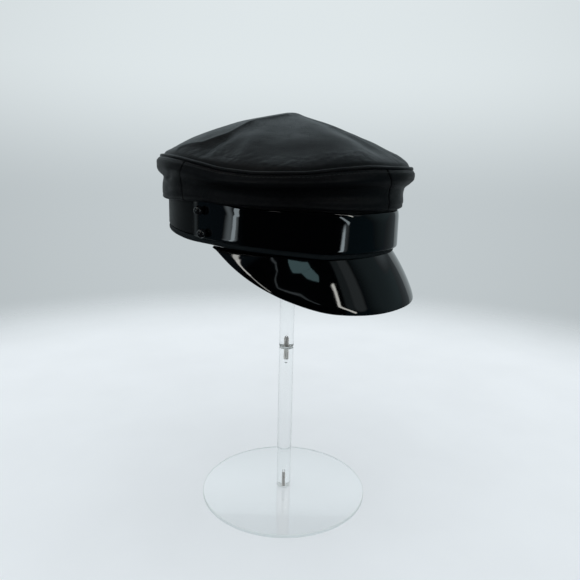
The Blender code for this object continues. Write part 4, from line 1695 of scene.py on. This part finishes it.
@dataclass
class Studio:
    """The camera, the pale floor and the lights."""

    distance: float = 0.479
    height: float = 0.295
    side_shift: float = 0.0021
    azimuth_deg: float = -53.5
    pitch_deg: float = 12.21
    roll_deg: float = 1.3
    lens_mm: float = 34.76
    sensor_mm: float = 36.0
    near_clip: float = 0.01
    floor_radius: float = 0.97
    floor_drop: float = 0.0002
    floor_steps: int = 96
    floor_fade_start: float = 0.52
    floor_fade_end_share: float = 0.98
    floor_colour: Colour = (0.89, 0.925, 0.955)
    floor_dim_share: float = 0.975
    mottle_scale: float = 9.0
    mottle_detail: float = 3.0
    mottle_span: Span = (0.35, 0.65)
    shade_aside: float = 0.35
    shade_behind: Span = (0.10, 0.92)
    pale_rise: Span = (-0.06, 0.17)
    dome_rise: Span = (0.22, 0.60)
    edge_behind: Span = (0.80, 1.0)
    edge_dim_share: float = 0.88
    room_behind: Span = (-0.25, 1.0)
    overhead_rise: Span = (0.24, 0.52)
    overhead_top: Span = (0.80, 0.93)
    overhead_top_share: float = 0.08
    overhead_behind: Span = (0.15, 0.75)
    black: Colour = (0.0, 0.0, 0.0)
    horizon_colour: Colour = (0.535, 0.585, 0.605)
    backdrop_colour: Colour = (0.74, 0.80, 0.82)
    dome_colour: Colour = (0.97, 0.99, 1.0)
    room_dark: Colour = (0.004, 0.005, 0.006)
    room_backdrop: Colour = (0.18, 0.215, 0.23)
    room_overhead: Colour = (0.96, 1.14, 1.22)
    glows: tuple[RoomShape, ...] = (
        Glow("left strip", ((103.8, 17.0), (104.3, -2.0)), 1.6, 0.7, 4.5),
        Glow("left strip, lower", ((104.8, -2.0), (106.7, -5.0), (107.2, -6.0), (108.6, -7.3),
                                   (111.5, -10.0)), 0.8, 0.9, 4.6),
        Glow("left strip, soft side", ((103.6, -1.0), (105.2, -5.0), (105.7, -6.0), (107.2, -7.3),
                                       (110.2, -10.0)), 0.6, 1.8, 1.4),
        Glow("left strip, flank", ((110.4, 20.0), (110.4, -1.0), (110.7, -5.0), (111.0, -6.0), (112.6, -7.3),
                                   (115.6, -10.0)), 0.2, 4.5, 1.5),
        Glow("right hook", ((8.6, 11.0), (4.6, 1.5), (2.2, -1.5), (0.8, -3.4)), 1.2, 0.8, 4.0),
        Pane("right streak", ((6.0, -5.5), (3.2, -5.5), (4.0, -7.0), (6.0, -11.0), (12.0, -11.0),
                              (8.0, -7.0)), 1.6, 5.2, DAYLIGHT),
        Glow("right streak, tail", ((2.4, -5.6), (3.2, -7.0), (5.5, -10.5)), 0.3, 3.8, 0.55),
        Glow("right strip, upper", ((6.0, 42.0), (5.5, 28.0), (-5.2, 14.0)), 0.6, 1.2, 9.0, (1.0, 1.0, 0.94)),
        Glow("far side, low", ((-66.0, 4.0), (-66.0, -20.0)), 6.0, 46.0, 1.0, (0.040, 0.105, 0.125)),
        Glow("front, low", ((-28.0, 4.0), (-28.0, -20.0)), 30.0, 6.0, 1.0, (0.030, 0.062, 0.078)),
        Glow("far side, high", ((-52.0, 60.0), (-52.0, 20.0)), 15.0, 26.0, 1.0, (0.135, 0.190, 0.205)),
        Glow("near side, dim", ((128.0, 60.0), (128.0, -20.0)), 12.0, 22.0, 1.0, (0.034, 0.055, 0.070)),
        Glow("grey panel", ((-13.0, 60.0), (-13.0, 20.0)), 3.5, 5.0, 0.37, (0.86, 1.0, 1.04)),
        Glow("grey panel, side", ((-5.5, 60.0), (-5.5, 24.0)), 4.0, 3.0, 0.20, (0.80, 1.0, 1.05)),
        Glow("ceiling tube, near", ((155.0, 67.5), (126.0, 63.3)), 1.0, 1.2, 6.5, TUBE_LIGHT),
        Glow("ceiling tube, middle", ((126.0, 63.6), (108.0, 57.0), (92.0, 50.0)), 1.0, 1.5, 8.0, TUBE_LIGHT),
        Glow("ceiling tube, far", ((92.0, 50.0), (69.0, 34.0)), 0.5, 1.2, 5.0, TUBE_LIGHT),
        Glow("window frame", ((88.0, 75.0), (68.0, 69.0), (60.0, 62.0), (60.0, 55.0), (56.0, 48.0),
                              (46.0, 45.0), (34.0, 42.0), (20.0, 32.0)), 0.25, 0.8, 0.8),
        Pane("window", ((50.0, 71.0), (17.0, 63.0), (16.0, 58.0), (30.0, 57.0), (41.0, 59.0)), 0.9, 1.33),
        Pane("window, foot", ((30.0, 57.5), (16.0, 58.0), (12.0, 51.0), (14.0, 47.0), (24.0, 52.0)),
             0.9, 1.33),
        Pane("backdrop", ((-85.0, -20.0), (-85.0, 40.0), (-168.0, 40.0), (-168.0, -20.0)), 3.0, 0.50,
             BACKDROP_LIGHT),
        Pane("backdrop, left", ((-166.0, 4.0), (-166.0, 50.0), (-184.0, 50.0), (-184.0, 4.0)), 4.0, 0.50,
             BACKDROP_LIGHT),
        Glow("backdrop, round the back", ((180.0, 50.0), (180.0, 14.0)), 8.0, 14.0, 0.40, BACKDROP_LIGHT),
    )

    def build_camera(self) -> None:
        """Places the camera at the photograph's angle."""
        azimuth, pitch, roll = (math.radians(v) for v in (self.azimuth_deg, self.pitch_deg, self.roll_deg))
        level = Vector((-math.sin(azimuth), math.cos(azimuth), 0.0))
        side = Vector((math.cos(azimuth), math.sin(azimuth), 0.0))
        upright = Vector((0.0, 0.0, 1.0))
        forward = level * math.cos(pitch) - upright * math.sin(pitch)
        tipped = upright * math.cos(pitch) + level * math.sin(pitch)
        right = side * math.cos(roll) + tipped * math.sin(roll)
        up = tipped * math.cos(roll) - side * math.sin(roll)
        place = upright * self.height - level * self.distance + side * self.side_shift
        camera = bpy.data.objects.new("Camera", bpy.data.cameras.new("Camera"))
        camera.data.lens = self.lens_mm
        camera.data.sensor_width = self.sensor_mm
        camera.data.clip_start = self.near_clip
        turn = Matrix((right, up, -forward)).transposed().to_4x4()
        camera.matrix_world = Matrix.Translation(place) @ turn
        bpy.context.scene.collection.objects.link(camera)
        bpy.context.scene.camera = camera

    def mirrored(self, hand: NodeHand) -> Socket:
        """Returns a mask of the rays that a glossy face mirrors."""
        path = hand.add("LightPath").outputs
        return hand.math("SUBTRACT", path["Is Glossy Ray"], path["Is Transmission Ray"])

    def floor_material(self) -> Material:
        """Returns the floor's finish, which fades out into the backdrop."""
        material, hand, shader = start_material("Pale floor")
        where = hand.spot()
        radius = hand.add("VectorMath", {"operation": "LENGTH"}, in_0=where).outputs["Value"]
        fade_end = self.floor_radius * self.floor_fade_end_share
        fade = hand.spread(radius, self.floor_fade_start, fade_end, 1.0, 0.0, smooth=True)
        mottle = hand.spread(hand.noise(where, self.mottle_scale, self.mottle_detail), *self.mottle_span)
        dim = tuple(channel * self.floor_dim_share for channel in self.floor_colour)
        hidden = hand.spread(self.mirrored(hand), 0.0, 1.0, 1.0, 0.0)
        hand.feed(shader, Base_Color=hand.mix(mottle, self.floor_colour, dim), Roughness=1.0,
                  Specular_IOR_Level=0.0, Alpha=hand.math("MULTIPLY", fade, hidden))
        return material

    def build_floor(self) -> None:
        """Builds the pale floor."""
        shape = bmesh.new()
        bmesh.ops.create_circle(shape, cap_ends=True, segments=self.floor_steps, radius=self.floor_radius)
        bmesh.ops.translate(shape, vec=(0.0, 0.0, -self.floor_drop), verts=shape.verts)
        mesh = bpy.data.meshes.new("floor")
        shape.to_mesh(mesh)
        shape.free()
        mesh.materials.append(self.floor_material())
        floor = bpy.data.objects.new("floor", mesh)
        bpy.context.scene.collection.objects.link(floor)

    def painted_room(self, hand: NodeHand, where: Socket, behind: Socket) -> Socket:
        """Paints the room that only glossy faces see.

        Args:
            hand: The world's nodes.
            where: The socket with the direction that is looked in.
            behind: The socket that says how nearly that is straight away from the camera.

        Returns:
            The socket with the room's colour.
        """
        split = hand.add("SeparateXYZ", in_0=where).outputs
        rise = split[2]
        backdrop = hand.spread(behind, *self.room_behind, smooth=True)
        low = hand.mix(backdrop, self.room_dark, self.room_backdrop)
        above = hand.spread(rise, *self.overhead_rise, smooth=True)
        below_top = hand.spread(rise, *self.overhead_top, 1.0, self.overhead_top_share, smooth=True)
        above = hand.math("MULTIPLY", above, below_top)
        over_back = hand.math("MULTIPLY", above, hand.spread(behind, *self.overhead_behind, smooth=True))
        room = hand.mix(over_back, low, self.room_overhead)
        across, along = (hand.math("MULTIPLY", split[axis], -1.0) for axis in (0, 1))
        place = {
            "Angle": hand.math("DEGREES", hand.math("ARCTAN2", across, along)),
            "Rise": hand.math("DEGREES", hand.math("ARCSINE", rise)),
        }
        groups = {Glow: stripe_group(), Pane: pane_edge_group()}
        for glow in self.glows:
            strength = hand.math("MULTIPLY", glow.mask(hand, groups[type(glow)], place), glow.radiance)
            room = hand.vector("MAXIMUM", room, hand.vector("SCALE", glow.colour, strength))
        return room

    def build_world(self) -> None:
        """Builds the pale backdrop, and the room that the cap reflects."""
        world = bpy.data.worlds.new("Studio")
        bpy.context.scene.world = world
        world.use_nodes = True
        world.cycles.sampling_method = "NONE"
        hand = NodeHand(world.node_tree)
        where = hand.add("TexCoord").outputs["Generated"]
        rise = hand.add("SeparateXYZ", in_0=where).outputs[2]
        azimuth = math.radians(self.azimuth_deg)
        behind = hand.vector("DOT_PRODUCT", where, (-math.sin(azimuth), math.cos(azimuth), 0.0))
        pale = hand.spread(rise, *self.pale_rise, smooth=True)
        pale = hand.mix(pale, self.horizon_colour, self.backdrop_colour)
        dim = hand.spread(behind, *self.edge_behind, self.edge_dim_share, 1.0, smooth=True)
        pale = hand.mix(dim, self.black, pale)
        seen = hand.mix(hand.spread(rise, *self.dome_rise, smooth=True), pale, self.dome_colour)
        room = self.painted_room(hand, where, behind)
        through = hand.add("LightPath").outputs["Is Transmission Ray"]
        aside = hand.spread(behind, *self.shade_behind, 1.0 - self.shade_aside, 0.0, smooth=True)
        seen = hand.mix(hand.math("MULTIPLY", through, aside), seen, self.black)
        hand.feed(world.node_tree.nodes["Background"], Color=hand.mix(self.mirrored(hand), seen, room))

    def build(self) -> None:
        """Builds the studio around the cap."""
        self.build_camera()
        self.build_floor()
        self.build_world()
        bpy.context.scene.view_settings.view_transform = "Standard"


def main() -> None:
    """Builds the cap, the stand and the studio."""
    logging.basicConfig(level=logging.INFO, format="%(message)s")
    Groups.build()
    shape = CapShape.from_frame()
    soft, smooth, patent = SOFT_LEATHER.material(), SMOOTH_LEATHER.material(), PATENT.material()
    SoftCrown(shape, soft, THREAD_BLACK.material()).build()
    HeadBand(shape, smooth, PAINTED_LIT_WELT_LEATHER.material(), patent, BUTTON_BLACK.material()).build()
    Peak(shape, patent, smooth).build()
    clear, sawn_edge, sawn_joint = CLEAR_ACRYLIC.material(), SAWN_EDGE.material(), SAWN_JOINT.material()
    ClearStand(clear, sawn_edge, sawn_joint, STUD_STEEL.material()).build()
    Studio().build()


if __name__ == "__main__":
    main()
